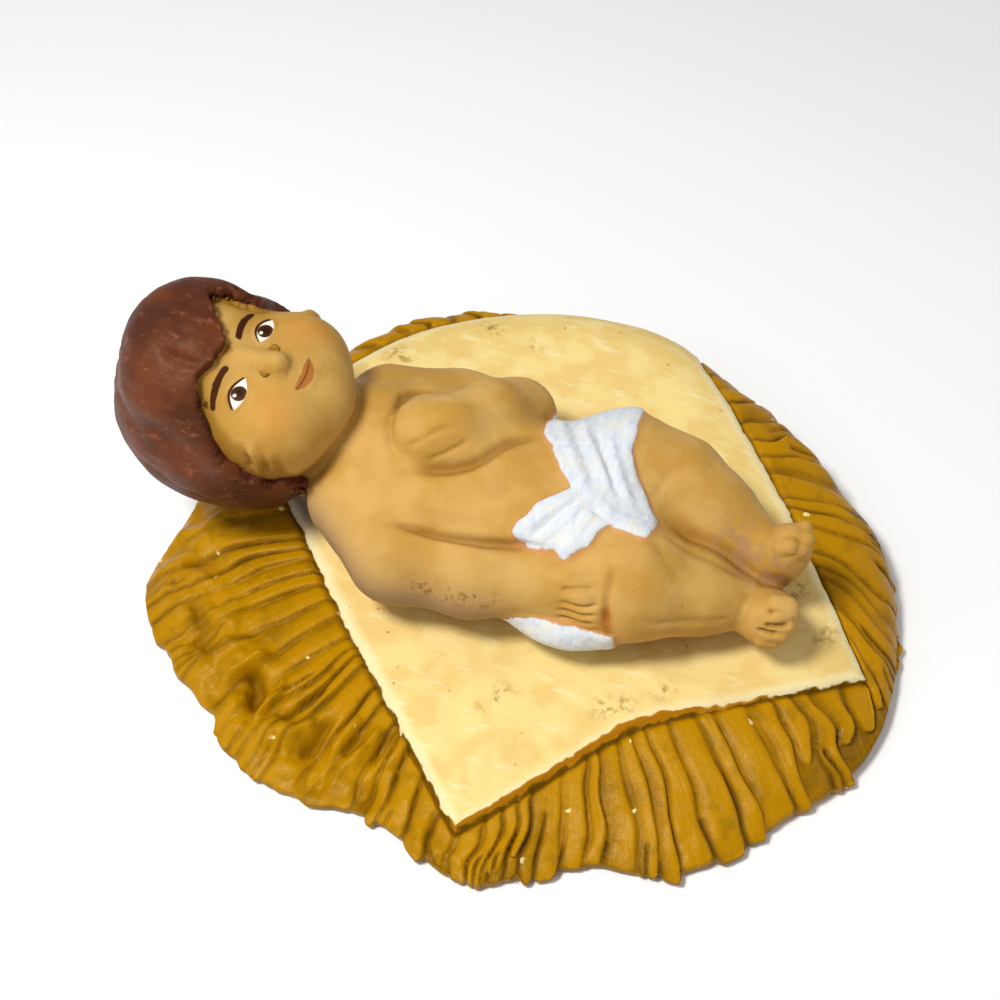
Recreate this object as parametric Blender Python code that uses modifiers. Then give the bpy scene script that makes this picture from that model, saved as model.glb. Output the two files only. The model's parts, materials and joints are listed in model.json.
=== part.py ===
# A painted clay nativity child lying in a straw bed with a cloth spread over it.
# Two pieces: the straw bed, pressed in one piece with its cloth, and the child, which lies loose on it.
# Metres, +Z up. +X runs from the child's head to its feet. The origin is the middle of the bed's underside.
import math

import bmesh
import bpy
import numpy as np
from mathutils import Euler, Matrix, Vector
from mathutils.bvhtree import BVHTree

# Bed
BED_LENGTH = 0.120
BED_WIDTH = 0.105
BED_HEIGHT = 0.0105       # crown of the straw mound at the middle, under the cloth
BACK_RISE = 0.0058        # how much higher the straw stands on the far side
RIM_HEIGHT = 0.0018       # upright edge where the straw meets the table
RIM_ROLL = 0.0012         # how far the underside is drawn in from the rim

# Cloth pressed onto the straw
CLOTH_REACH = 0.053       # from the bed's middle to the cloth's corners, about
CLOTH_THICKNESS = 0.0014
CLOTH_HOLLOW = 0.0016     # how deep the child's weight presses the middle
EDGE_SLOPE = 0.0005       # how far the foot of the cloth's edge stands out from its top
CLOTH_ROUNDING = 0.0042   # from this near the rim, the cloth's edge turns to follow it
LEAST_STRAW = 0.0005      # straw left outside the cloth where a groove cuts into the rim

# Straw strands
STRAND_COUNT = 60
STRAND_SEED = 11          # picks their widths, heights and ends
STRAND_DEPTH = 0.0017
STRAND_LEAN = math.radians(8)   # how far the strands lean towards the near side on their way out
TUFT_HEIGHT = 0.0018      # how far the straw behind the shoulder stands above the rest
TUCK_DEPTH = 0.0007       # groove where the straw goes under the cloth
SCALLOP_DEPTH = 0.0011    # how far the grooves cut into the rim

# Child
CHILD_LENGTH = 0.1112     # from crown to toes; the whole form follows it
CROWN_OVERHANG = 0.0076   # how far the crown stands out past the bed's end
REST_GAP = 0.0003         # air left between the child and the cloth


def clear_scene():
    for obj in list(bpy.data.objects):
        bpy.data.objects.remove(obj, do_unlink=True)


def new_material(name, colour, roughness):
    material = bpy.data.materials.new(name)
    material.use_nodes = True
    shader = material.node_tree.nodes["Principled BSDF"]
    shader.inputs["Base Color"].default_value = (*colour, 1.0)
    shader.inputs["Roughness"].default_value = roughness
    shader.inputs["Metallic"].default_value = 0.0
    return material


# Straw bed

# The hand-pressed outline against a true oval: direction in degrees, share of the oval's radius.
OUTLINE = (
    (-176, 0.985), (-156, 1.070), (-131, 1.005), (-121, 1.022), (-99, 0.938), (-80, 1.032), (-62, 0.955),
    (-46, 1.018), (-32, 0.990), (-13, 1.018), (8, 0.993), (27, 1.005), (37, 0.980), (62, 1.000), (88, 1.065),
    (128, 1.055), (160, 1.000),
)

# The cloth's corners: direction in degrees, and share of CLOTH_REACH.
CLOTH_CORNERS = ((-84, 0.895), (-3.0, 1.040), (86, 1.120), (168, 1.080))
# How far each edge bows out between its corner and the next, as a share of its distance from the middle.
CLOTH_BOWS = (-0.115, 0.015, 0.165, 0.020)
BOW_FULLNESS = 1.4        # above 1, a bow is fullest at the middle of its edge

# How the mound falls away to the rim: power of the distance out, then power of what is left of the height.
NEAR_FALL = (4.4, 0.75)   # a long slope
FAR_FALL = (11.0, 0.50)   # a steep round shoulder

# The hollow under the child, as shares of the bed's length and width.
HOLLOW_SPREAD = (0.36, 0.22)

# Places across a strand where its surface has a row of points, and the share of its height there.
STRAND_PLACES = ((0.0, 0.0), (0.3, 0.95), (0.7, 0.95))
GROOVE_SHARE = 0.75       # share of the strand depth that lies below the mound
SCALLOP_MIDDLE = 0.5      # reach of the strands that end on the outline
TUFT_ANGLE = 126          # degrees round the bed
TUFT_SPREAD = 20
STRAND_START = 0.35       # share of the relief where a strand leaves the cloth
STRAND_GROWTH = 1.3       # how fast it then grows with the distance out
STRAND_END = 6            # power that ends the relief at the rim

# Rings of points on the cloth and on the straw, from inside to outside.
CLOTH_RINGS = (0.3, 0.58, 0.82, 1.0)
STRAW_RINGS = (0.0, 0.14, 0.36, 0.60, 0.80, 0.93, 1.0)


def outline_share(angle):
    # Eases from one outline point to the next.
    points = [(math.radians(degrees), share) for degrees, share in OUTLINE]
    for (first, share), (second, following) in zip(points, points[1:] + points[:1]):
        span = (second - first) % (2 * math.pi)
        along = ((angle - first) % (2 * math.pi)) / span
        if along < 1:
            return share + (following - share) * (1 - math.cos(math.pi * along)) / 2
    return points[0][1]


def rim_radius(angle):
    half_length, half_width = BED_LENGTH / 2, BED_WIDTH / 2
    oval = half_length * half_width / math.hypot(half_width * math.cos(angle), half_length * math.sin(angle))
    return oval * outline_share(angle)


def cloth_radius(angle):
    # Four edges between the corners, each bowed, and kept inside the rim.
    corners = [(math.radians(degrees), CLOTH_REACH * share) for degrees, share in CLOTH_CORNERS]
    for (first, near), (second, far), bow in zip(corners, corners[1:] + corners[:1], CLOTH_BOWS):
        span = (second - first) % (2 * math.pi)
        swing = (angle - first) % (2 * math.pi)
        if swing <= span:
            break
    chord = near * far * math.sin(span) / (near * math.sin(swing) + far * math.sin(span - swing))
    radius = chord * (1 + bow * math.sin(math.pi * swing / span) ** BOW_FULLNESS)
    most = rim_radius(angle) - SCALLOP_DEPTH * SCALLOP_MIDDLE - EDGE_SLOPE - LEAST_STRAW
    room = max(most - radius, 0.0)
    return most - room * smooth_step(room / CLOTH_ROUNDING)


def smooth_step(value):
    value = min(value, 1.0)
    return value * value * (3 - 2 * value)


def make_strands():
    # Each strand has its own width, height and reach past the rim.
    generator = np.random.default_rng(STRAND_SEED)
    widths = generator.uniform(0.6, 1.4, STRAND_COUNT)
    return {
        "edges": np.concatenate([[0.0], np.cumsum(widths)]) / widths.sum() * 2 * math.pi,
        "height": generator.uniform(0.45, 1.0, STRAND_COUNT),
        "reach": generator.uniform(-0.5, 1.0, STRAND_COUNT),
    }


def mound_height(x, y):
    # The straw mound without its strands.
    angle = math.atan2(y, x)
    out = min(math.hypot(x, y) / rim_radius(angle), 1.0)
    far_side = (1 + math.sin(angle)) / 2
    reach = NEAR_FALL[0] + (FAR_FALL[0] - NEAR_FALL[0]) * far_side ** 2
    drop = NEAR_FALL[1] + (FAR_FALL[1] - NEAR_FALL[1]) * far_side
    crown = BED_HEIGHT + BACK_RISE * y / (BED_WIDTH / 2)
    return RIM_HEIGHT + (crown - RIM_HEIGHT) * (1 - out ** reach) ** drop


def cloth_height(x, y):
    # The cloth follows the mound, pressed in where the child lies.
    length, width = BED_LENGTH * HOLLOW_SPREAD[0], BED_WIDTH * HOLLOW_SPREAD[1]
    pressed = math.exp(-((x / length) ** 2 + (y / width) ** 2))
    return mound_height(x, y) + CLOTH_THICKNESS - CLOTH_HOLLOW * pressed


def cloth_point(angle, share):
    radius = cloth_radius(angle) * share
    x, y = radius * math.cos(angle), radius * math.sin(angle)
    return x, y, cloth_height(x, y)


def straw_point(share, angle, height, reach):
    # A point on a strand: share is 0 at the cloth and 1 at the rim.
    leant = angle - STRAND_LEAN * math.cos(angle)
    inner = cloth_radius(angle) + EDGE_SLOPE
    outer = rim_radius(leant) + SCALLOP_DEPTH * (reach - SCALLOP_MIDDLE)
    radius = inner + (outer - inner) * share
    place = angle + (leant - angle) * share
    x, y = radius * math.cos(place), radius * math.sin(place)
    from_tuft = (math.degrees(angle) - TUFT_ANGLE) / TUFT_SPREAD
    relief = STRAND_DEPTH * (height - GROOVE_SHARE) + TUFT_HEIGHT * math.exp(-from_tuft * from_tuft)
    relief *= min(1.0, STRAND_START + share * STRAND_GROWTH) * (1 - share ** STRAND_END)
    tuck = TUCK_DEPTH if share == 0.0 else 0.0
    return x, y, max(mound_height(x, y) + relief - tuck, RIM_HEIGHT)


def underside_point(point):
    x, y, z = point
    drawn_in = 1 - RIM_ROLL / math.hypot(x, y)
    return x * drawn_in, y * drawn_in, 0.0


def bed_rings(strands):
    # Rings of points from the cloth's middle out over its edge and the straw, and under the rim.
    spokes = []
    for k in range(STRAND_COUNT):
        start, end = strands["edges"][k], strands["edges"][k + 1]
        for place, rise in STRAND_PLACES:
            height, reach = rise * strands["height"][k], rise * strands["reach"][k]
            spokes.append((start + place * (end - start), height, reach))
    rings = [[cloth_point(angle, share) for angle, height, reach in spokes] for share in CLOTH_RINGS]
    rings += [[straw_point(share, *spoke) for spoke in spokes] for share in STRAW_RINGS]
    rings.append([underside_point(point) for point in rings[-1]])
    return rings


def build_bed(collection, material):
    rings = bed_rings(make_strands())
    shape = bmesh.new()
    top = shape.verts.new((0.0, 0.0, cloth_height(0.0, 0.0)))
    bottom = shape.verts.new((0.0, 0.0, 0.0))
    rows = [[shape.verts.new(point) for point in ring] for ring in rings]
    sectors = len(rows[0])
    for k in range(sectors):
        after = (k + 1) % sectors
        shape.faces.new((top, rows[0][k], rows[0][after]))
        shape.faces.new((bottom, rows[-1][after], rows[-1][k]))
        for inner, outer in zip(rows, rows[1:]):
            shape.faces.new((inner[k], outer[k], outer[after], inner[after]))
    mesh = bpy.data.meshes.new("straw_bed")
    shape.to_mesh(mesh)
    shape.free()
    mesh.shade_smooth()
    mesh.set_sharp_from_angle(angle=math.radians(40))
    mesh.materials.append(material)
    bed = bpy.data.objects.new("straw_bed", mesh)
    collection.objects.link(bed)
    return bed


# Child, in its own units, lying on its back with +X towards the feet and 0 the plane it lies on

# Rounded masses: centre, half sizes, and turn in degrees about X, Y and Z.
MASSES = {
    "chest": ((-17.0, 2.0, 11.0), (15.0, 15.0, 10.0), (0, 0, 0)),
    "belly": ((-1.0, 0.3, 11.0), (15.0, 13.5, 10.0), (0, 0, 0)),
    "hips": ((11.0, 2.3, 10.0), (11.5, 15.0, 9.5), (0, 0, 0)),
    "buttock_right": ((12.0, -5.0, 7.0), (10.0, 8.5, 7.0), (0, 0, 0)),
    "buttock_left": ((12.0, 9.8, 7.5), (10.0, 9.0, 7.5), (0, 0, 0)),
    "lower_hip": ((9.0, -10.4, 4.3), (9.8, 8.4, 3.8), (0, 0, -12)),
}

# Limbs: points from the body outwards, each with the limb's radius there.
LIMBS = {
    "neck": ((-40, 0.5, 15, 8.5), (-27, 1.4, 12, 9.5)),
    "right_arm": ((-27.8, -7.9, 9.3, 7.9), (-17, -14.4, 8, 7.3), (-5, -14.1, 8, 6.4), (9, -11.5, 9.8, 5.4)),
    "left_arm": ((-28, 10.3, 10.5, 8), (-18, 14.7, 10, 6.6), (-8.5, 15.6, 10.5, 6.2)),
    "left_forearm": ((-8, 15.2, 12.7, 5.9), (-10.5, 8.6, 17.4, 5.7), (-14, 2.4, 19.6, 5.6)),
    "right_leg": ((12, -6, 10, 9.5), (18.5, -8.1, 9.5, 8.8), (27, -5.6, 7.6, 6.4), (34.5, -3.8, 6, 4.3)),
    "left_leg": ((12, 10.3, 11, 10), (19.5, 10.3, 10.5, 8.4), (26, 7.8, 9.6, 7), (35, 4.5, 8.6, 4.6)),
}

# Hands and feet: centre, half sizes, and turn in degrees about X, Y and Z.
ENDS = {
    "left_fist": ((-16.8, 0.7, 19.6), (6.2, 5.8, 5.6), (-20, 20, 20)),
    "right_hand": ((14.0, -11.4, 10.4), (4.8, 5.8, 5.8), (0, 0, 10)),
    "right_foot": ((38.6, -4.6, 5.6), (4.6, 4.6, 6.0), (38, 18, 0)),
    "left_foot": ((37.8, 3.5, 9.8), (4.2, 4.0, 7.0), (-8, 22, 0)),
}

HEAD_CENTRE = (-48.2, -2.0, 19.0)
HEAD_TURN = (14.0, 10.0, 5.0)     # degrees: rolled to the near side, chin down, chin to the far side

# Masses of the head, seen from its own centre: +X to the chin and +Z out of the face.
HEAD_MASSES = {
    "skull": ((-2.0, 0.0, -1.3), (15.4, 14.4, 15.4)),
    "face": ((4.5, 0.0, 3.5), (12.0, 12.7, 11.5)),
    "jaw": ((9.0, 0.0, 5.0), (8.6, 10.5, 9.8)),
    "chin": ((13.8, 0.0, 9.0), (4.0, 4.8, 3.8)),
    "cheek_right": ((8.4, -6.6, 8.6), (6.2, 5.6, 5.4)),
    "cheek_left": ((8.4, 6.6, 8.6), (6.2, 5.6, 5.4)),
}
HEAD_DETAILS = {
    "nose_bridge": ((3.6, 0.0, 13.6), (3.6, 1.8, 2.4)),
    "nose_tip": ((6.8, 0.0, 14.9), (2.1, 2.2, 2.3)),
    "lips": ((11.2, 0.0, 13.2), (1.9, 3.4, 1.6)),
    "ear_right": ((4.0, -13.7, 0.0), (3.8, 1.6, 2.8)),
    "ear_left": ((4.0, 13.7, 0.0), (3.8, 1.6, 2.8)),
}
HAIR_THICKNESS = 1.7
HAIR_MASSES = {
    "nape": ((4.5, 0.0, -7.5), (9.5, 12.0, 8.5)),
    "forelock": ((-6.0, 2.0, 10.5), (7.0, 8.4, 4.5)),
}
LOCK_DEPTH = 0.4
LOCK_COUNT = 16
LOCK_SWIRL = 0.12                 # how much the locks twist on their way from the crown
LOCK_FADE = 4.0                   # the locks fade out this near the hair's edge
# The hair leaves the face bare inside this opening, seen from the head's centre.
FACE_OPENING = ((11.5, 0.0, 8.5), (17.0, 15.4, 14.5))

# Loincloth, seen from above: its edge round the front of the hips, and its reach behind them.
LOINCLOTH_FRONT = (
    (-3.0, 26.0), (-2.0, 13.0), (6.5, -0.5), (0.5, -9.0), (-1.0, -24.0), (12.0, -24.0), (9.5, -11.5),
    (13.0, -5.0), (19.5, -2.0), (18.0, 3.5), (11.0, 12.0), (10.0, 26.0),
)
LOINCLOTH_BEHIND = (-2.0, 17.0)
LOINCLOTH_THICKNESS = 0.7
LOINCLOTH_TURNOVER = 8.0          # height above the lying plane where the two edges meet

TORSO_BLEND = 6.0
LIMB_BLEND = 2.2
HEAD_BLEND = 4.0
DETAIL_BLEND = 1.2
SOFT_EDGE = 1.8
EDGE_RAMP = 2.4                   # width over which the edges of the hair and the loincloth rise
LYING_PLANE = 0.8                 # the back is pressed flat at this height
VOXEL = 0.9
FIRST_FIT = 5                     # rounds of moving the skin onto the form before it is evened out
SMOOTHINGS = 5
BALL_STEPS = 4                    # balls along each stretch of a limb
FIGURE_TRIANGLES = 4800


def mass_distance(points, centre, half_sizes, turn=None):
    offset = points - np.array(centre)
    if turn is not None:
        offset = offset @ np.array(Euler([math.radians(t) for t in turn]).to_matrix())
    scaled = np.linalg.norm(offset / half_sizes, axis=1)
    slope = np.linalg.norm(offset / np.square(half_sizes), axis=1)
    return scaled * (scaled - 1) / np.maximum(slope, 1e-9)


def limb_distance(points, joints, width):
    found = None
    for start, end in zip(joints, joints[1:]):
        a, b = np.array(start[:3]), np.array(end[:3])
        along = np.clip((points - a) @ (b - a) / ((b - a) @ (b - a)), 0, 1)
        reach = np.linalg.norm(points - (a + along[:, None] * (b - a)), axis=1)
        piece = reach - (start[3] + along * (end[3] - start[3]))
        found = piece if found is None else blended(found, piece, width)
    return found


def blended(first, second, width):
    # The nearer of two forms, with a fillet of about this width where they meet.
    share = np.maximum(width - np.abs(first - second), 0) / width
    return np.minimum(first, second) - share * share * width / 4


def trimmed(first, second, width):
    # What both forms hold, with the edge between them rounded.
    return -blended(-first, -second, width)


def outline_distance(x, y, corners):
    # Distance from a closed outline, less than zero inside it.
    points = np.stack([x, y], axis=1)
    nearest = np.full(len(points), np.inf)
    inside = np.zeros(len(points), bool)
    ring = np.array(corners, float)
    for a, b in zip(ring, np.roll(ring, -1, axis=0)):
        along = np.clip((points - a) @ (b - a) / ((b - a) @ (b - a)), 0, 1)
        nearest = np.minimum(nearest, np.linalg.norm(points - a - along[:, None] * (b - a), axis=1))
        crosses = (a[1] > y) != (b[1] > y)
        if a[1] != b[1]:
            inside ^= crosses & (x < (b[0] - a[0]) * (y - a[1]) / (b[1] - a[1]) + a[0])
    return np.where(inside, -nearest, nearest)


def head_space(points):
    turn = Euler([math.radians(t) for t in HEAD_TURN]).to_matrix()
    return (points - np.array(HEAD_CENTRE)) @ np.array(turn)


def raised(form, edge, thickness):
    # Raises a form by this thickness where the edge distance is less than zero, on a short ramp.
    share = np.clip(0.5 - edge / EDGE_RAMP, 0, 1)
    return form - thickness * share * share * (3 - 2 * share)


def hair_locks(local, edge):
    # Shallow locks that run from the crown towards the face and the nape.
    around = np.arctan2(local[:, 1], local[:, 2] + 3.0)
    locks = np.sin(around * LOCK_COUNT + local[:, 0] * LOCK_SWIRL)
    return LOCK_DEPTH * locks * np.clip(-edge / LOCK_FADE, 0, 1)


def blend_all(points, masses, width, found=None):
    for mass in masses:
        form = mass_distance(points, *mass)
        found = form if found is None else blended(found, form, width)
    return found


def head_distance(points):
    local = head_space(points)
    found = blend_all(local, HEAD_MASSES.values(), HEAD_BLEND)
    found = blend_all(local, HEAD_DETAILS.values(), DETAIL_BLEND, found)
    skull = mass_distance(local, *HEAD_MASSES["skull"])
    hair = blend_all(local, HAIR_MASSES.values(), HEAD_BLEND, skull)
    edge = -mass_distance(local, *FACE_OPENING)
    found = blended(found, trimmed(hair, edge, SOFT_EDGE), SOFT_EDGE)
    return raised(found, edge, HAIR_THICKNESS + hair_locks(local, edge))


def loincloth_edge(points):
    # Less than zero where the loincloth covers the hips.
    x, y, z = points.T
    front = np.maximum(outline_distance(x, y, LOINCLOTH_FRONT), LOINCLOTH_TURNOVER - z)
    behind = np.maximum(LOINCLOTH_BEHIND[0] - x, x - LOINCLOTH_BEHIND[1])
    return np.minimum(front, np.maximum(behind, z - LOINCLOTH_TURNOVER))


def child_distance(points):
    found = blend_all(points, MASSES.values(), TORSO_BLEND)
    for name in ("right_leg", "left_leg"):
        found = blended(found, limb_distance(points, LIMBS[name], LIMB_BLEND), LIMB_BLEND)
    found = raised(found, loincloth_edge(points), LOINCLOTH_THICKNESS)
    found = blended(found, limb_distance(points, LIMBS["neck"], LIMB_BLEND), TORSO_BLEND)
    for name in ("right_arm", "left_arm", "left_forearm"):
        found = blended(found, limb_distance(points, LIMBS[name], LIMB_BLEND), LIMB_BLEND)
    found = blend_all(points, ENDS.values(), DETAIL_BLEND, found)
    found = blended(found, head_distance(points), SOFT_EDGE)
    return trimmed(found, LYING_PLANE - points[:, 2], SOFT_EDGE)


def add_ball(shape, centre, half_sizes, turn=(0, 0, 0), frame=Matrix()):
    turned = Euler([math.radians(t) for t in turn]).to_matrix().to_4x4()
    placed = frame @ Matrix.Translation(centre) @ turned @ Matrix.Diagonal((*half_sizes, 1))
    bmesh.ops.create_icosphere(shape, subdivisions=3, radius=1.0, matrix=placed)


def rough_child():
    # Balls along every mass and limb, to be fused into one skin by the Remesh modifier.
    shape = bmesh.new()
    for centre, half_sizes, turn in (*MASSES.values(), *ENDS.values()):
        add_ball(shape, centre, half_sizes, turn)
    for joints in LIMBS.values():
        for start, end in zip(joints, joints[1:]):
            for step in range(BALL_STEPS + 1):
                x, y, z, radius = Vector(start).lerp(Vector(end), step / BALL_STEPS)
                add_ball(shape, (x, y, z), (radius, radius, radius))
    turn = Euler([math.radians(t) for t in HEAD_TURN]).to_matrix().to_4x4()
    frame = Matrix.Translation(HEAD_CENTRE) @ turn
    for centre, half_sizes in (*HEAD_MASSES.values(), *HEAD_DETAILS.values(), *HAIR_MASSES.values()):
        add_ball(shape, centre, half_sizes, frame=frame)
    mesh = bpy.data.meshes.new("rough_child")
    shape.to_mesh(mesh)
    shape.free()
    return mesh


def evaluated_mesh(obj):
    graph = bpy.context.evaluated_depsgraph_get()
    return bpy.data.meshes.new_from_object(obj.evaluated_get(graph), depsgraph=graph)


def read_points(mesh):
    points = np.empty(len(mesh.vertices) * 3)
    mesh.vertices.foreach_get("co", points)
    return points.reshape(-1, 3)


def drawn_to_form(points, rounds):
    # Moves the skin's points onto the blended form, along its steepest slope.
    step = 0.02
    for _ in range(rounds):
        distance = child_distance(points)
        slope = np.stack(
            [(child_distance(points + offset) - distance) / step for offset in np.eye(3) * step], axis=1
        )
        slope /= np.maximum(np.square(slope).sum(axis=1), 0.25)[:, None]
        points = points - slope * distance[:, None]
    return points


def evened_out(points, mesh):
    # Moves each point halfway to the middle of its neighbours.
    edges = np.empty(len(mesh.edges) * 2, int)
    mesh.edges.foreach_get("vertices", edges)
    first, second = edges.reshape(-1, 2).T
    total = np.zeros_like(points)
    np.add.at(total, first, points[second])
    np.add.at(total, second, points[first])
    count = np.bincount(edges, minlength=len(points))[:, None]
    return (points + total / count) / 2


def build_child(collection, material):
    rough = bpy.data.objects.new("rough_child", rough_child())
    collection.objects.link(rough)
    remesh = rough.modifiers.new("One skin", "REMESH")
    remesh.mode = "VOXEL"
    remesh.voxel_size = VOXEL
    bpy.context.view_layer.update()
    mesh = evaluated_mesh(rough)
    bpy.data.objects.remove(rough, do_unlink=True)

    points = drawn_to_form(read_points(mesh), FIRST_FIT)
    for _ in range(SMOOTHINGS):
        points = drawn_to_form(evened_out(points, mesh), 1)
    points[:, 0] -= points[:, 0].min()
    mesh.vertices.foreach_set("co", (points * CHILD_LENGTH / points[:, 0].max()).ravel())
    mesh.name = "child"
    mesh.materials.clear()
    mesh.materials.append(material)
    mesh.shade_smooth()
    child = bpy.data.objects.new("child", mesh)
    collection.objects.link(child)
    thin = child.modifiers.new("Fewer faces", "DECIMATE")
    thin.ratio = FIGURE_TRIANGLES / (2 * len(mesh.polygons))
    child.location = (-BED_LENGTH / 2 - CROWN_OVERHANG, 0.0, CHILD_LENGTH)
    return child


def lay_down(child, bed):
    # Lowers the child until it is one rest gap above the cloth.
    bpy.context.view_layer.update()
    graph = bpy.context.evaluated_depsgraph_get()
    down, up = Vector((0, 0, -1)), Vector((0, 0, 1))
    trees, corners = [], []
    for obj in (child, bed):
        mesh = obj.evaluated_get(graph).to_mesh()
        places = [obj.matrix_world @ vertex.co for vertex in mesh.vertices]
        trees.append(BVHTree.FromPolygons(places, [tuple(face.vertices) for face in mesh.polygons]))
        corners.append(places)
    drops = [place.z - hit.z for place in corners[0] for hit in [trees[1].ray_cast(place, down)[0]] if hit]
    drops += [hit.z - place.z for place in corners[1] for hit in [trees[0].ray_cast(place, up)[0]] if hit]
    child.location.z -= min(drops) - REST_GAP


clear_scene()
figurine = bpy.data.collections.new("nativity_child_on_straw")
bpy.context.scene.collection.children.link(figurine)
straw_paint = new_material("Ochre straw paint", (0.46, 0.25, 0.02), 0.55)
skin_paint = new_material("Skin paint", (0.78, 0.50, 0.20), 0.65)
straw_bed = build_bed(figurine, straw_paint)
child = build_child(figurine, skin_paint)
lay_down(child, straw_bed)
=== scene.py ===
import json
import math
import time

import bmesh
import bpy
import numpy as np
from mathutils import Euler, Matrix, Vector, noise

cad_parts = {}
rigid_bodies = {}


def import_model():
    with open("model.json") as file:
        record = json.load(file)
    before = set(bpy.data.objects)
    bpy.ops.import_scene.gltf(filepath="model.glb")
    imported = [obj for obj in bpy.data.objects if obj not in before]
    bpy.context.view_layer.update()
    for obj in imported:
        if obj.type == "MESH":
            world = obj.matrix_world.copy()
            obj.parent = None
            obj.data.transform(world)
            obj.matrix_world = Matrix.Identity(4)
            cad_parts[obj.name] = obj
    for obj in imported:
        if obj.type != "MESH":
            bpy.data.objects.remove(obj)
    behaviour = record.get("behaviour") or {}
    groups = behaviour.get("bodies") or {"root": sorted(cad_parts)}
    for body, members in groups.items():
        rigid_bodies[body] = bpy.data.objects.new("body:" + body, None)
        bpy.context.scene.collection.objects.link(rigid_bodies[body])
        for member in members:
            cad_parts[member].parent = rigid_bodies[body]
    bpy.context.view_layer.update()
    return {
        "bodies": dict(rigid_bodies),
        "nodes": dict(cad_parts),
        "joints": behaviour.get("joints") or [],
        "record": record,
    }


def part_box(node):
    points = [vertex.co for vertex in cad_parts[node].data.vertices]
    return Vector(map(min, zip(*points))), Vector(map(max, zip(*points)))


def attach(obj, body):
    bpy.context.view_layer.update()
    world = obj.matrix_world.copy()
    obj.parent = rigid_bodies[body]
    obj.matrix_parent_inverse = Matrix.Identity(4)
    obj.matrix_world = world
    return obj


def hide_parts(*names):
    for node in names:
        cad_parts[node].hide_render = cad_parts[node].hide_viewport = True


# A hand-painted clay child lying on a straw bed with a cloth.
# Lengths are in millimetres until a mesh is made.
startTime = time.time()
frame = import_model()
millimetre = 0.001
farAway = 50                                              # a distance where no paint mark reaches


def report(stage):
    print(f"{stage}: {time.time() - startTime:.1f} s")


# Small helpers for shapes

def smoothStep(value):
    value = np.clip(value, 0, 1)
    return value * value * (3 - 2 * value)


def easedTable(angle, table):
    # reads (degrees, value) pairs round a circle, easing from one to the next
    places, values = np.array(table, float).T
    places = np.append(np.radians(places), math.radians(table[0][0]) + 2 * math.pi)
    values = np.append(values, values[0])
    turned = places[0] + (angle - places[0]) % (2 * math.pi)
    k = np.clip(np.searchsorted(places, turned, side="right") - 1, 0, len(table) - 1)
    along = (turned - places[k]) / (places[k + 1] - places[k])
    return values[k] + (values[k + 1] - values[k]) * (1 - np.cos(np.pi * along)) / 2


def unevenness(points, size, seed):
    # soft lumps of about this size, from -1 to 1
    shift = Vector((seed * 7.1, seed * 3.7, seed * 5.3))
    return np.array([noise.noise(Vector(p) / size + shift) for p in points.tolist()])


def unevenLayers(points, layers):
    # several soft lumps on top of each other: height, size and seed of each
    return sum(height * unevenness(points, size, seed) for height, size, seed in layers)


def inPlan(strokes):
    # paths drawn in plan, as strokeMarks takes them
    return [([(x, y, 0) for x, y in path], *rest) for path, *rest in strokes]


def roundedPath(path):
    # cuts each corner a quarter of the way along its two sides
    near, far = path[:-1] * 0.75 + path[1:] * 0.25, path[:-1] * 0.25 + path[1:] * 0.75
    return np.concatenate([path[:1], np.stack([near, far], 1).reshape(-1, path.shape[1]), path[-1:]])


def strokeMarks(points, strokes):
    # sums tapered grooves (depth above 0) and ridges (below 0), each drawn along a path on the surface
    total = np.zeros(len(points))
    for path, width, depth in strokes:
        path = roundedPath(np.array(path, float))
        reach = 3 * width
        near = np.all((points > path.min(0) - reach) & (points < path.max(0) + reach), axis=1)
        here = points[near]
        if not len(here):
            continue
        lengths = np.linalg.norm(np.diff(path, axis=0), axis=1)
        starts = np.append(0, np.cumsum(lengths))
        best, place = np.full(len(here), np.inf), np.zeros(len(here))
        for k, (a, b) in enumerate(zip(path, path[1:])):
            along = np.clip((here - a) @ (b - a) / lengths[k] ** 2, 0, 1)
            away = np.linalg.norm(here - a - along[:, None] * (b - a), axis=1)
            place = np.where(away < best, (starts[k] + along * lengths[k]) / starts[-1], place)
            best = np.minimum(best, away)
        blunt = np.clip(2 * width / starts[-1], 0.25, 1)   # short wide marks keep round ends
        taper = smoothStep(np.minimum(place, 1 - place) * 4 + blunt)
        total[near] += depth * taper * np.exp(-((best / width) ** 2))
    return total


def setAttributes(mesh, values):
    for name, numbers in values.items():
        layer = mesh.attributes.new(name, "FLOAT", "POINT")
        layer.data.foreach_set("value", np.asarray(numbers, np.float32).ravel())


def readPoints(mesh):
    points = np.empty(len(mesh.vertices) * 3)
    mesh.vertices.foreach_get("co", points)
    return points.reshape(-1, 3)


def readNormals(mesh):
    normals = np.empty(len(mesh.vertices) * 3)
    mesh.vertices.foreach_get("normal", normals)
    return normals.reshape(-1, 3)


# The straw bed with its cloth

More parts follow.
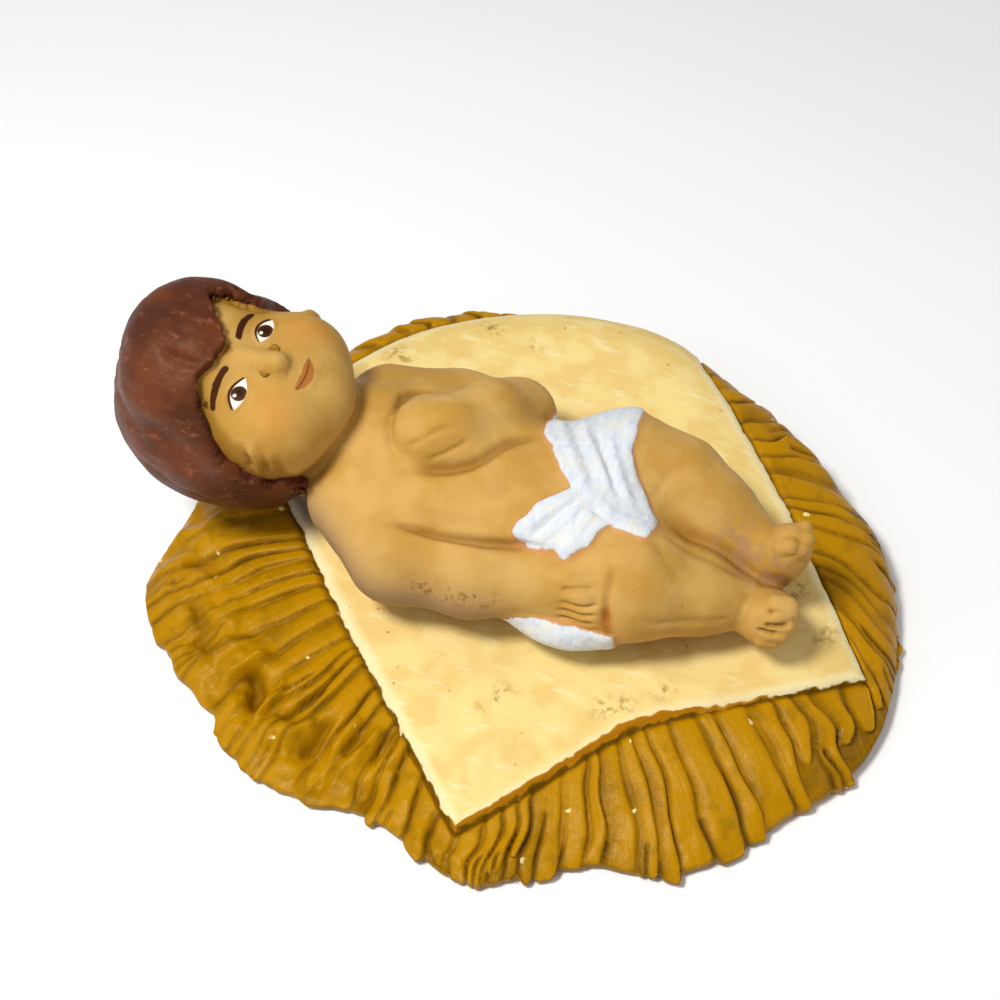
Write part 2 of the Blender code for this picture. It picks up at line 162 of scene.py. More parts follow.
bed = {
    "length": 120, "width": 105, "crown": 10.5, "backRise": 5.8, "rimHeight": 1.8,
    "outline": (
        (-176, 0.985), (-156, 1.070), (-131, 1.005), (-121, 1.022), (-99, 0.938), (-80, 1.032), (-62, 0.955),
        (-46, 1.018), (-32, 0.990), (-13, 1.018), (8, 0.993), (27, 1.005), (37, 0.980), (62, 1.000),
        (88, 1.065), (128, 1.055), (160, 1.000),
    ),
    "nearFall": (4.4, 0.75), "farFall": (11.0, 0.50),     # how the mound drops to the rim
    "leafCount": 76, "leafSeed": 11,
    "lowerLeafCount": 78, "lowerLeafSeed": 5,             # a second layer that shows between the leaves
    "lowerHeight": 0.5, "lowerReach": 0.3, "lowerShift": 0.02,
    "leafDepth": 1.6, "leafLean": math.radians(8), "leafWander": (0.028, 9, 2.4, 6),
    # the leaves' ranges: width, height and reach as shares, lean of the back, end and split along the leaf
    "leafWidths": (0.6, 1.5), "leafHeights": (0.65, 1.0), "leafReaches": (0, 1.0), "leafTilts": (0.3, 1.0),
    "shortShare": 0.3, "shortEnds": (0.68, 0.96), "longEnd": 1.35, "endRun": 0.35, "endFullness": 3,
    "splitShare": 0.4, "splitStarts": (0.1, 0.6), "noSplit": 2.0, "splitPlaces": (0.32, 0.68),
    "splitRun": 0.25, "splitDome": 0.45, "domePower": 5,
    "grooveShare": 0.75, "grooveWidth": 0.34, "tuck": 0.7, "tuckWidth": 0.5, "scallop": 1.5,
    "noiseRadius": 54,                                    # noise runs round a circle of this radius
    "lobes": ((1.6, 5.4, 15),), "lumps": ((2.2, 4.4, 8), (0.8, 1.9, 9)), "grain": ((0.04, 1.4, 10),),
    "dentShade": (0.35, 0.6),                             # how dark a dent's paint is, and at most
    "sectors": 1080, "clothRings": 24, "strawRings": 54,
    "tuftHeight": 1.8, "tuftAngle": math.radians(126), "tuftSpread": math.radians(20),
    # how lumpy the straw is, round the bed
    "lumpiness": (
        (-150, 1.0), (-120, 1.0), (-90, 0.6), (-60, 0.25), (0, 0.3), (60, 0.4), (126, 0.8), (170, 0.8),
    ),
    # how far the leaves are smeared away towards the rim
    "smeared": (
        (-170, 0.5), (-150, 0.6), (-120, 0.6), (-98, 0.4), (-84, 0), (100, 0), (126, 0.5), (150, 0.4),
    ),
    "smearStart": (0.3, 0.35), "lumpStart": (0.35, 0.4),  # share of the way out, and run
    # pits and lumps in the straw: path in plan, width, depth
    "dents": (
        (((-34.4, -32.6), (-32, -34.6), (-31.8, -37)), 1.0, 2.5), (((-33, -36), (-31.4, -37.6)), 0.8, 1.0),
        (((-29, -32.4), (-28.4, -35), (-29.2, -37.6), (-31.6, -40)), 0.65, -1.5),
        (((-38.6, -35.2), (-36, -33.4), (-34.2, -30.4), (-32, -30)), 0.7, -1.1),
        (((-48, -24.6), (-46.4, -27), (-43.8, -28)), 1.1, 1.5), (((-45.8, -29.4), (-42.6, -30.8)), 0.8, 1.1),
        (((-44, -33.4), (-41.4, -31.4), (-39.6, -28.6)), 1.0, -1.2),
        (((-29, -42.6), (-24.6, -41.4), (-21, -37.6)), 1.6, -1.5), (((-30, -39), (-26.6, -38)), 0.7, 0.9),
        (((-21.8, -43.4), (-19.8, -40), (-19, -36)), 0.9, 1.6),
        (((-26.4, -38), (-23, -34.4), (-22, -31.6)), 0.55, 1.0),
        (((-17.4, -42), (-16, -38.6), (-14.8, -35)), 0.9, -1.1),
        (((-13.4, -42), (-12, -38.4), (-11, -35.6)), 0.8, -1.1),
        (((-8.8, -41.6), (-7, -38), (-6.4, -34.8)), 1.2, -1.2),
        (((-10.6, -41.4), (-9.4, -37), (-8.4, -34.6)), 0.5, 1.0),
        (((-15.2, -41.6), (-13.4, -37.4)), 0.5, 0.8),
    ),
    "wall": ((0.10, 1.45), (0.05, 0.95), (-0.25, 0.45), (-0.70, 0.12), (-1.20, 0.0)),  # out, height
    "wallNoise": (0.15, 1.6, 12), "underRings": (0.94, 0.7, 0.4),
}

cloth = {
    "reach": 53, "thickness": 1.4, "hollow": 1.6, "hollowSpread": (0.36, 0.22), "edgeSlope": 0.5,
    "corners": ((-84, 0.895), (-3, 1.040), (86, 1.120), (168, 1.080)),
    "bows": (-0.115, 0.015, 0.165, 0.020), "bowFullness": 1.4, "rounding": 4.2, "leastStraw": 0.5,
    "edgeHeight": ((-150, 0.30), (-115, 0.35), (-84, 1.00), (-45, 1.10), (-3, 0.80), (40, 0.50), (86, 0.65),
                   (130, 0.55), (168, 0.60)),             # share of its thickness round the edge
    "ochreEdge": ((-90, 0), (-80, 0.9), (-40, 1), (-20, 0.5), (-8, 0), (90, 0), (180, 0)),
    "ragged": ((0.28, 5.0, 1), (0.12, 1.7, 2)),           # how the edge wanders
    "leastRim": 1.6,                                      # straw left outside the cloth
    "edgeRise": 6, "edgeRounding": (0.30, 0.35), "ringCrowding": 0.72,
    "waviness": ((0.10, 7.0, 3), (0.04, 2.2, 4)),
    "middleEdge": -40, "underEdge": 9,                    # edge distances that the paint reads there
    # stained places in plan: path and width
    "stains": (
        (((-36, 31), (-34, 30.6)), 1.6), (((-22.6, 41.4), (-20.6, 41.4)), 1.3), (((-14, 40), (-12, 38)), 0.8),
        (((19, -23), (20.5, -22.6), (22.5, -21.2)), 1.5), (((2.5, -27.4), (4.5, -25.5)), 1.3),
        (((26, -17.2), (28, -16.4)), 1.0), (((47, -2), (49, 3), (49.5, 8)), 1.2), (((40, 4), (42, 7)), 1.6),
        (((-31, -17), (-28, -22), (-25, -26)), 1.1),
    ),
    # a dark bluish patch on the cloth beside the neck: bluish paint, darkened as painted shade under the head
    "blueShade": (((-40, -3), (-38, -5)), 2.4),
    # folds and brush ridges: path in plan, width, depth
    "folds": (
        (((22, -15.5), (32, -15.4), (37, -11), (43, -6)), 1.3, -0.45),
        (((24, -18), (33, -18.4), (41, -12)), 1.2, 0.35),
        (((20, -24), (26, -19), (33, -17)), 1.3, -0.35),
        (((8, -36), (14, -28), (20, -24)), 1.6, 0.32),
        (((4, -40), (5, -33), (9, -26)), 1.4, -0.35),
        (((-8, -24), (-2, -29), (2, -37)), 2.0, 0.3),
        (((-30, 36), (-18, 40), (-6, 41)), 2.4, 0.22),
        (((10, 33), (20, 28), (27, 20)), 2.2, 0.22),
    ),
}


def rimRadius(angle):
    halfLength, halfWidth = bed["length"] / 2, bed["width"] / 2
    oval = halfLength * halfWidth / np.hypot(halfWidth * np.cos(angle), halfLength * np.sin(angle))
    return oval * easedTable(angle, bed["outline"])


def clothRadius(angle):
    corners = [(math.radians(degrees), cloth["reach"] * share) for degrees, share in cloth["corners"]]
    chord = np.zeros_like(angle)
    for (first, near), (second, far), bow in zip(corners, corners[1:] + corners[:1], cloth["bows"]):
        span = (second - first) % (2 * math.pi)
        swing = (angle - first) % (2 * math.pi)
        radius = near * far * math.sin(span) / (near * np.sin(swing) + far * np.sin(span - swing) + 1e-9)
        radius = radius * (1 + bow * np.sin(np.pi * np.clip(swing / span, 0, 1)) ** cloth["bowFullness"])
        chord = np.where(swing <= span, radius, chord)
    most = rimRadius(angle) - bed["scallop"] / 2 - cloth["edgeSlope"] - cloth["leastStraw"]
    room = np.maximum(most - chord, 0)
    return most - room * smoothStep(room / cloth["rounding"])


def moundHeight(x, y):
    angle = np.arctan2(y, x)
    out = np.minimum(np.hypot(x, y) / rimRadius(angle), 1)
    farSide = (1 + np.sin(angle)) / 2
    reach = bed["nearFall"][0] + (bed["farFall"][0] - bed["nearFall"][0]) * farSide ** 2
    drop = bed["nearFall"][1] + (bed["farFall"][1] - bed["nearFall"][1]) * farSide
    crown = bed["crown"] + bed["backRise"] * y / (bed["width"] / 2)
    return bed["rimHeight"] + (crown - bed["rimHeight"]) * (1 - out ** reach) ** drop


def clothHeight(x, y, edgeShare):
    length, width = bed["length"] * cloth["hollowSpread"][0], bed["width"] * cloth["hollowSpread"][1]
    pressed = np.exp(-((x / length) ** 2 + (y / width) ** 2))
    return moundHeight(x, y) + cloth["thickness"] * edgeShare - cloth["hollow"] * pressed


def leafLayer(count, seed):
    generator = np.random.default_rng(seed)
    widths = generator.uniform(*bed["leafWidths"], count)
    layer = {
        "edges": np.append(0, np.cumsum(widths)) / widths.sum() * 2 * math.pi,
        "height": generator.uniform(*bed["leafHeights"], count),
        "reach": generator.uniform(*bed["leafReaches"], count),
    }
    short, ends = generator.random(count) < bed["shortShare"], generator.uniform(*bed["shortEnds"], count)
    layer["end"] = np.where(short, ends, bed["longEnd"])
    split, starts = generator.random(count) < bed["splitShare"], generator.uniform(*bed["splitStarts"], count)
    layer["split"] = np.where(split, starts, bed["noSplit"])
    layer["splitPlace"] = generator.uniform(*bed["splitPlaces"], count)
    layer["tilt"] = generator.uniform(*bed["leafTilts"], count)   # the leaves overlap like shingles
    return layer


def leafProfile(layer, angle, share, radius):
    # how full the straw is: 0 in a groove and up to the leaf's own height on its crest
    turned = angle % (2 * math.pi)
    k = np.clip(np.searchsorted(layer["edges"], turned, side="right") - 1, 0, len(layer["height"]) - 1)
    width = layer["edges"][k + 1] - layer["edges"][k]
    across = (turned - layer["edges"][k]) / width
    halfWidth = width * radius / 2
    grown = smoothStep((share - layer["split"][k]) / bed["splitRun"])   # how far a split has opened
    toSplit = np.abs(across - layer["splitPlace"][k]) * width * radius
    toSplit = toSplit / np.maximum(grown, 0.02) + (1 - grown) * halfWidth
    toEdge = np.minimum(across, 1 - across) * width * radius
    nearest = np.minimum(toEdge, toSplit)
    half = halfWidth * (1 - bed["splitDome"] * grown)
    dome = 1 - (1 - np.clip(nearest / half, 0, 1)) ** bed["domePower"]
    end, run = layer["end"][k], bed["endRun"]
    closing = np.clip((share - end + run) / run, 0, 1)
    leaf = np.clip(1 - np.abs(2 * across - 1) / np.sqrt(np.maximum(1 - closing ** 2, 1e-4)), 0, 1)
    leaf = np.where(share < end - run, 1, np.minimum(1, leaf * bed["endFullness"]))
    full = dome * leaf * (1 + layer["tilt"][k] * (across - 0.5))
    return full * layer["height"][k], full * layer["reach"][k], nearest / np.maximum(leaf, 0.05)


def clothRows(circle, inner, thinning, addRow):
    folds = inPlan(cloth["folds"])
    roundHeight, roundWidth = cloth["edgeRounding"]
    for share in (np.arange(1, bed["clothRings"] + 1) / bed["clothRings"]) ** cloth["ringCrowding"]:
        x, y = inner * share * circle[:, :2].T
        inside = (1 - share) * inner                      # millimetres in from the edge
        edgeShare = 1 - (1 - thinning) * np.exp(-((inside / cloth["edgeRise"]) ** 2))
        z = clothHeight(x, y, edgeShare)
        z = z + unevenLayers(np.stack([x, y, z], 1), cloth["waviness"])
        z = z - strokeMarks(np.stack([x, y, 0 * x], 1), folds)
        z = z - roundHeight * np.exp(-((inside / roundWidth) ** 2))
        addRow(x, y, z, -inside)


def strawRows(angle, circle, inner, addRow):
    upper = leafLayer(bed["leafCount"], bed["leafSeed"])
    lower = leafLayer(bed["lowerLeafCount"], bed["lowerLeafSeed"])
    rim, dents = rimRadius(angle), inPlan(bed["dents"])
    leant = angle - bed["leafLean"] * np.cos(angle)
    lumpiness, smeared = easedTable(angle, bed["lumpiness"]), easedTable(angle, bed["smeared"])
    outerRim = rimRadius(leant) + unevenLayers(circle * bed["noiseRadius"], bed["lobes"]) * lumpiness
    sway, roundNoise, alongNoise, swaySeed = bed["leafWander"]
    even = np.arange(bed["strawRings"]) / (bed["strawRings"] - 1)
    for share in (smoothStep(even) + even) / 2:           # closer together at both ends
        place = angle + (leant - angle) * share
        around = [np.cos(place) * roundNoise, np.sin(place) * roundNoise, 0 * place + share * alongNoise]
        turned = angle + sway * unevenness(np.stack(around, 1), 1, swaySeed)
        firm, reach, nearest = leafProfile(upper, turned, share, rim)
        under, underReach, underNearest = leafProfile(lower, turned + bed["lowerShift"] * share, share, rim)
        under = under * bed["lowerHeight"]
        smearStart, smearRun = bed["smearStart"]
        loose = smoothStep((share - smearStart) / smearRun) * smeared
        full = np.maximum(firm, under)
        full = full + (bed["grooveShare"] - full) * loose
        edgeAway = np.where(firm >= under, nearest, underNearest)
        # painted shade: how dark the straw is painted in and beside its grooves
        groove = np.exp(-((edgeAway / bed["grooveWidth"]) ** 2)) * (1 - loose)

        start = inner + cloth["edgeSlope"]
        spread = (reach + bed["lowerReach"] * underReach) * (1 - loose) + loose / 2
        length = outerRim + bed["scallop"] * (spread - 0.5) - start
        radius = start + length * share
        x, y = radius * np.cos(place), radius * np.sin(place)
        point = np.stack([x, y, 0 * x], 1)

        fromTuft = (((angle + math.pi) % (2 * math.pi)) - math.pi - bed["tuftAngle"]) / bed["tuftSpread"]
        relief = bed["leafDepth"] * (full - bed["grooveShare"]) + bed["tuftHeight"] * np.exp(-(fromTuft ** 2))
        relief = relief * np.minimum(1, 0.35 + share * 1.3) * (1 - share ** 6)   # low at both ends
        lumpStart, lumpRun = bed["lumpStart"]
        lumps = unevenLayers(point, bed["lumps"]) * lumpiness
        relief = relief + lumps * smoothStep((share - lumpStart) / lumpRun) * (1 - share ** 8)
        relief = relief + unevenLayers(point, bed["grain"])
        dent = strokeMarks(point, dents)
        # dents are painted darker too, as painted shade
        darkness, darkest = bed["dentShade"]
        groove = np.maximum(groove, np.clip(dent * darkness, 0, darkest))
        tuck = bed["tuck"] * np.exp(-((share * length / bed["tuckWidth"]) ** 2))
        z = np.maximum(moundHeight(x, y) + relief - dent - tuck, bed["rimHeight"] - 0.1)
        addRow(x, y, z, share * length + cloth["edgeSlope"], groove * smoothStep(share * 6), full)


def undersideRows(top, addRow):
    outward = top[:, :2] / np.linalg.norm(top[:, :2], axis=1)[:, None]
    wobble, size, seed = bed["wallNoise"]
    for out, height in bed["wall"]:
        uneven = unevenness(top * [1, 1, 0] + [0, 0, out * 3], size, seed)[:, None]
        lowest = top[:, :2] + outward * (out + wobble * uneven)
        addRow(*lowest.T, height + 0 * top[:, 0], cloth["underEdge"])
    for share in bed["underRings"]:
        addRow(*(lowest * share).T, 0 * top[:, 0], cloth["underEdge"])


def bedRows():
    # rings of points from the cloth's middle to the underside, and what the paint reads at each
    angle = np.linspace(0, 2 * math.pi, bed["sectors"], endpoint=False)
    circle = np.stack([np.cos(angle), np.sin(angle), 0 * angle], 1)
    noiseRing = circle * bed["noiseRadius"]
    inner = clothRadius(angle) + unevenLayers(noiseRing, cloth["ragged"])
    inner = np.minimum(inner, rimRadius(angle) - cloth["leastRim"])
    ochreEdge = easedTable(angle, cloth["ochreEdge"])
    rows, marks = [], {name: [] for name in ("clothEdge", "groove", "ochreEdge", "spokeX", "spokeY", "swell")}

    def addRow(x, y, z, clothEdge, groove=0, swell=0.4):
        rows.append(np.stack([x, y, z], 1))
        for name, value in zip(marks, (clothEdge, groove, ochreEdge, *noiseRing[:, :2].T, swell)):
            marks[name].append(value + np.zeros(len(angle)))

    clothRows(circle, inner, easedTable(angle, cloth["edgeHeight"]), addRow)
    strawRows(angle, circle, inner, addRow)
    undersideRows(rows[-1], addRow)
    return rows, marks


def makeBed(material):
    rows, marks = bedRows()
    low, high = (np.array(corner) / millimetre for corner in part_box("straw_bed"))
    clothMiddle = clothHeight(np.zeros(1), np.zeros(1), 1)[0]
    points = np.concatenate([*rows, [[0, 0, clothMiddle], [0, 0, 0]]])
    points = np.clip(points, low, high)
    sectors, count = bed["sectors"], len(rows)
    ring, last = np.arange(sectors), (count - 1) * sectors
    step = np.arange(count - 1)[:, None] * sectors
    start, after = step + ring, step + (ring + 1) % sectors
    quads = np.stack([start, start + sectors, after + sectors, after], -1).reshape(-1, 4)
    middle, under = count * sectors, count * sectors + 1
    pairs = list(zip(ring, (ring + 1) % sectors))
    fans = [(middle, a, b) for a, b in pairs] + [(under, b + last, a + last) for a, b in pairs]
    mesh = bpy.data.meshes.new("strawBed")
    mesh.from_pydata((points * millimetre).tolist(), [], quads.tolist() + fans)
    mesh.shade_smooth()
    mesh.materials.append(material)
    ends = {"clothEdge": (cloth["middleEdge"], cloth["underEdge"])}
    paint = {name: np.append(np.concatenate(values), ends.get(name, (0, 0)))
             for name, values in marks.items()}
    plan = points * [1, 1, 0]
    for name, places in (("stain", cloth["stains"]), ("blueShade", [cloth["blueShade"]])):
        strokes = inPlan([(path, width, 1) for path, width in places])
        paint[name] = np.clip(strokeMarks(plan, strokes), 0, 1)
    setAttributes(mesh, paint)
    piece = bpy.data.objects.new("strawBed", mesh)
    bpy.context.scene.collection.objects.link(piece)
    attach(piece, "root")
    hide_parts("straw_bed")
    return piece


# The child, sculpted as blended forms; +X towards the feet, the plane it lies on just above 0

child = {
    "voxel": 0.72, "lyingPlane": 0.8,
    # places with a finer skin, then those with the finest: middle and reach
    "fineSpots": (
        (((-43, -4, 26), 22), ((13, -14, 10), 9), ((39, -1, 9), 11), ((-15, 0, 22), 9), ((-8, -14, 14), 6),
         ((0, -13, 15), 6), ((8, -3, 20), 12)),
        (((13, -16, 10.5), 5.5), ((40.5, -7, 8.5), 5), ((40, 3.5, 14.5), 4), ((-44, -3.4, 31), 11),
         ((-38, -15, 22), 4)),
    ),
    "torsoBlend": 6.0, "limbBlend": 2.2, "headBlend": 4.0, "detailBlend": 1.2, "fingerBlend": 0.5,
    "softEdge": 1.8, "edgeRamp": 1.3,                     # width over which paint-thick edges rise
    "limbSteps": 6, "quickVoxel": 1.7, "drawRounds": 3, "pressRounds": 6, "longestPress": 0.7,
    "masses": (                                           # centre, half sizes, turn in degrees
        ((-17, 2, 11), (15, 15, 10)), ((-1, 0.3, 11), (15, 13.5, 10)), ((11, 2.3, 10), (11.5, 15, 9.5)),
        ((12, -5, 7), (10, 8.5, 7)), ((12, 9.8, 7.5), (10, 9, 7.5)),
        ((9, -10.4, 4.3), (9.8, 8.4, 3.8), (0, 0, -12)),
    ),
    "legs": (
        ((12, -6, 10, 9.5), (18.5, -8.1, 9.5, 8.8), (27, -5.6, 7.6, 6.4), (34.5, -3.8, 6, 4.3)),
        ((12, 10.3, 11, 10), (19.5, 10.3, 10.5, 8.4), (26, 7.8, 9.6, 7), (35, 4.5, 8.6, 4.6)),
    ),
    "neck": ((-40, 0.5, 15, 8.5), (-27, 1.4, 12, 9.5)),
    "arms": (
        ((-26.6, -7.8, 9.6, 7.3), (-17, -14.4, 8, 7.3), (-5, -14.1, 8, 6.4), (9, -11.5, 9.8, 5.4)),
        ((-28, 10.3, 10.5, 8), (-18, 14.7, 10, 6.6), (-8.5, 15.6, 10.5, 6.2)),
        ((-8, 15.2, 12.7, 5.9), (-10.5, 8.6, 17.4, 5.7), (-14, 2.4, 19.6, 5.6)),
    ),
    "ends": (                                             # fist, hand, near foot, far foot
        ((-16.8, 0.7, 19.6), (6.2, 5.8, 5.6), (-20, 20, 20)),
        ((14, -11.4, 10.4), (4.8, 5.8, 5.8), (0, 0, 10)),
        ((38.6, -4.6, 5.6), (4.6, 4.6, 6.0), (38, 18, 0)),
        ((37.8, 3.5, 9.8), (4.2, 4, 7), (-8, 22, 0)),
    ),
    "fingers": (
        ((10.8, -14.9, 12.0, 1.5), (13.6, -15.2, 13.0, 1.5)),
        ((10.8, -15.9, 9.7, 1.05), (15.2, -16.0, 11.6, 1.05)),
        ((10.5, -16.1, 7.9, 1.05), (15.2, -16.3, 9.9, 1.05)),
        ((10.3, -15.8, 6.2, 1.0), (15.0, -16.2, 8.2, 1.0)),
        ((10.2, -15.2, 4.6, 0.95), (14.6, -15.6, 6.6, 0.95)),
    ),
    "toes": (
        ((39.6, -5.8, 9.9, 2.0), (41.2, -5.5, 9.7, 1.9)), ((40.2, -7.6, 8.3, 1.2), (41.9, -7.1, 8.1, 1.2)),
        ((39.6, -8.6, 6.8, 1.15), (41.4, -8.1, 6.7, 1.15)), ((38.8, -9.0, 5.3, 1.1), (40.6, -8.5, 5.1, 1.1)),
        ((38.2, 1.9, 14.2, 1.3), (39.4, 1.8, 15.2, 1.3)), ((40.0, 2.1, 13.4, 1.3), (41.0, 2.3, 14.6, 1.25)),
        ((40.6, 3.8, 13.8, 1.3), (41.3, 4.0, 15.0, 1.3)), ((39.8, 5.7, 14.0, 1.3), (40.6, 5.8, 15.2, 1.25)),
    ),
    "creases": (                                          # path, width, depth
        # between the near arm and the chest
        (((-18.5, -14.6, 15.8), (-11.6, -13.8, 15), (-5.5, -13.2, 15), (0.5, -12.5, 15.6), (5.1, -12, 16.6)),
         0.8, 1.3),
        (((-17.5, -15.8, 15), (-10.6, -15.2, 14.4), (-4.5, -14.8, 14.4), (2, -14.2, 15)), 0.9, -0.3),
        # the fist stands out, with a crease round it and between its fingers
        (((-19, -0.4, 24), (-15.4, 0.6, 24.6)), 4.2, -0.65),
        (((-20, 10.5, 19.1), (-23.3, 6.6, 21), (-23, 2.8, 21.5), (-22.6, -2, 21), (-19.6, -5.2, 19.2)),
         0.85, 1.6),
        (((-20, 10.5, 19.1), (-12.5, 9.5, 23.3), (-6.8, 10, 22.3)), 0.8, 0.3),
        (((-18, -6.4, 18.2), (-12.1, -5.4, 19.8), (-7.9, -3.1, 20.5), (-5.3, 1.9, 21), (-1.4, 5.9, 20.1)),
         1.0, 1.2),
        (((-18.6, -4.8, 22), (-17, -4, 22.9), (-14.4, -1.8, 24.3), (-12.1, -0.4, 24.1)), 0.45, 0.38),
        (((-15.4, -5.2, 20.3), (-13.8, -4.3, 21.1), (-11.9, -2.7, 21.8), (-10.1, -0.7, 22.6)), 0.45, 0.35),
        # the near hand stands out, with its thumb and fingers
        (((10.6, -14.6, 14.4), (13.4, -15.9, 12), (14, -16.6, 9)), 2.6, -0.6),
        (((9.6, -15.8, 13.2), (11.5, -15.8, 13.6), (14.4, -15.3, 14.8)), 0.5, 0.7),
        (((7.2, -14.3, 15.3), (8.2, -14.2, 15.6), (9.4, -14.5, 15.3)), 0.6, 0.5),
        (((9.8, -16.9, 11.3), (13, -16.9, 11.8), (15.6, -16.7, 13)), 0.42, 0.7),
        (((9.6, -17.2, 9.7), (12.8, -17.1, 10.2), (15.6, -17.2, 11.3)), 0.42, 0.7),
        (((9.6, -17.4, 8.2), (12.7, -17.2, 8.6), (15.6, -17.3, 9.7)), 0.42, 0.7),
        (((16.4, -12.4, 17.6), (16.5, -15.1, 15.5), (16.9, -16.9, 12.3), (17.3, -17.3, 9.4)), 0.55, 0.6),
        # the legs and the folds of the knees
        (((22, 10.1, 18.9), (20, 8.1, 19.1), (18.6, 4.9, 18.2), (18.5, 1.9, 17.6)), 0.7, 0.3),
        (((20.5, -6.3, 18.4), (22, -8, 17.9), (24, -9.1, 16.8), (26.2, -9.9, 14.8)), 0.9, 0.35),
        (((21.4, -4.2, 17.2), (27, -3.6, 14.5), (31, -3.6, 12.8), (35, -1.9, 9.9)), 0.7, 0.5),
        (((22, -16.4, 11.7), (25.1, -14.6, 10.3), (28.7, -12.2, 9.4), (33.3, -9.3, 8.3)), 0.5, 0.4),
        # toes and ankle of the near foot
        (((38.8, -7.8, 10.8), (41.3, -6.4, 10.2), (42.7, -4.6, 8.5)), 0.45, 1.1),
        (((38.8, -9.2, 9.2), (41.2, -8.4, 9.2), (42.3, -7.2, 8.7)), 0.45, 1.1),
        (((37.9, -9.7, 8.1), (39.8, -9.5, 8.1), (41.1, -9, 7.9)), 0.45, 0.9),
        (((35.5, -6.5, 9.6), (36.4, -4.4, 10.2), (36.7, -1.3, 9.2)), 0.8, 0.3),
    ),
    "hairCreases": (
        (((-58.2, -8.6, 34), (-54.2, -10, 34.9), (-52.1, -10.8, 34.8), (-47.9, -9.9, 33.8)), 0.8, 1.1),
        (((-60, -6, 33), (-55, -6.6, 36), (-50.5, -7.2, 36.3)), 0.9, 0.6),
        (((-62, -2, 32), (-57, -1, 35.8), (-51.5, -2.6, 37)), 1.0, 0.5),
        (((-60, -13, 29), (-55, -15, 30.5), (-50, -15.5, 30)), 1.0, 0.7),
        (((-61, -15, 22), (-55, -18, 25), (-49, -18.6, 25.5)), 1.1, 0.6),
        (((-57, -18, 18), (-50, -20, 20), (-43, -19.6, 20.5)), 1.1, 0.6),
    ),
    # worn and dirty places, and grey paint darkened as painted shade along the near arm's lower side: path
    # and width of each
    "marks": {
        "speckle": (((-15, -19.4, 9.8), (-7, -20, 10), (1, -19, 10.2)), 1.5),
        "ochre": (((16.8, -16.2, 13.4), (17, -16.9, 11.6), (17.4, -17.8, 8), (17.4, -17.8, 5)), 0.95),
        "greyAndShade": (((-36, -11, 13), (-31, -15.4, 9), (-22, -20.8, 7), (-9, -20.8, 6.5), (5, -18.4, 6)), 4.8),
        "mauve": (((29, 4, 13), (34, 0.5, 11), (38, 0.5, 10), (39, 2, 14)), 3.4),
    },
    "loinclothFront": (
        (-2.8, 26), (-2.1, 16.9), (-1.9, 14), (-1.1, 7.8), (-0.5, 5.6), (1.5, 3.6), (2.6, 1.6), (3.3, 0.8),
        (4.2, -0.6), (5.9, -2.1), (6.6, -3), (4.8, -4.9), (2.8, -6.7), (2, -8.5), (0.7, -9.8), (0.3, -10.9),
        (1.3, -11.8), (2.9, -12.2), (7.2, -12), (8.5, -12.9), (10, -12.6), (11.1, -11.5), (12.1, -10.8),
        (12.9, -8.5), (14, -6.9), (17, -7.2), (19.5, -7.2), (20.1, -4.7), (19.9, -2), (18.5, -0.6),
        (18.1, 0.1), (16.8, 1.7), (15.4, 3.1), (14.6, 4.1), (13, 6.9), (12.5, 11.2), (12, 15.6), (11, 26),
    ),
    "loinclothBehind": (-1.0, 18.5), "loinclothThickness": 0.75, "loinclothTurnover": 7.4,
    "loinclothNear": ((8, 2, 10), 30), "fingerNear": 9,   # how far those forms reach
    "loinclothStart": -6, "armClear": 0.35,               # no loincloth paint above it, or on the near arm
    "hollowReach": 2.0,                                   # how far out the paint looks for a neighbour
    # soft lumps: height, size and seed of each; the cloth's and hair's are stretched
    "lumps": ((0.16, 6, 21), (0.06, 2.2, 22)),
    "clothLumps": ((0.10, 1.2, 23),), "clothStretch": (0.6, 2, 1),
    "hairLumps": ((0.35, 3.4, 24),), "hairStretch": (0.6, 1, 1),
    "loinclothRun": 0.8, "hairRun": 2,                    # how far in from their edges the lumps grow
    "folds": (                                            # ridges and tucks of the loincloth
        (((-0.4, 13, 18.6), (1.1, 8.4, 19.6), (4.9, 2.5, 21.2), (8.9, -2.8, 20.9)), 0.75, -0.6),
        (((3.4, 14, 19), (4.5, 9.6, 19.9), (8.4, 3.5, 21.2), (12.4, -1.7, 20.5)), 0.75, -0.7),
        (((8.9, 14.5, 20.2), (8.9, 8.4, 21.3), (11.9, 2.9, 20.7), (15.9, -2.6, 19.5)), 0.8, -0.6),
        (((1.4, 14, 18.8), (2.5, 9.2, 19.6), (6.5, 3, 21.4), (10.4, -2.2, 20.8)), 0.45, 0.45),
        (((5.8, 14, 19.8), (6.7, 9, 20.7), (9.9, 3.2, 21.1), (13.9, -2.3, 20.2)), 0.45, 0.45),
        (((8, -4, 20.8), (5.1, -7.4, 19.8), (2.2, -10.5, 17.8)), 0.7, -0.6),
        (((9.6, -5.2, 20.6), (7.1, -9.4, 19), (4.5, -11.8, 16.6)), 0.6, -0.55),
        (((11.1, -6, 20.4), (10.2, -9.6, 19.2), (9.1, -12.1, 17.6)), 0.6, -0.5),
        (((8.6, -4.9, 20.6), (5.7, -8.7, 19), (3.3, -11.2, 17.1)), 0.4, 0.4),
        (((10.7, -5.5, 20.5), (12.6, -6.4, 19.8), (13.6, -7.2, 19.3)), 0.5, 0.7),
        (((12, -4.6, 20.5), (14.9, -5, 19.3), (18.4, -5.8, 18.7)), 0.65, -0.5),
    ),
}

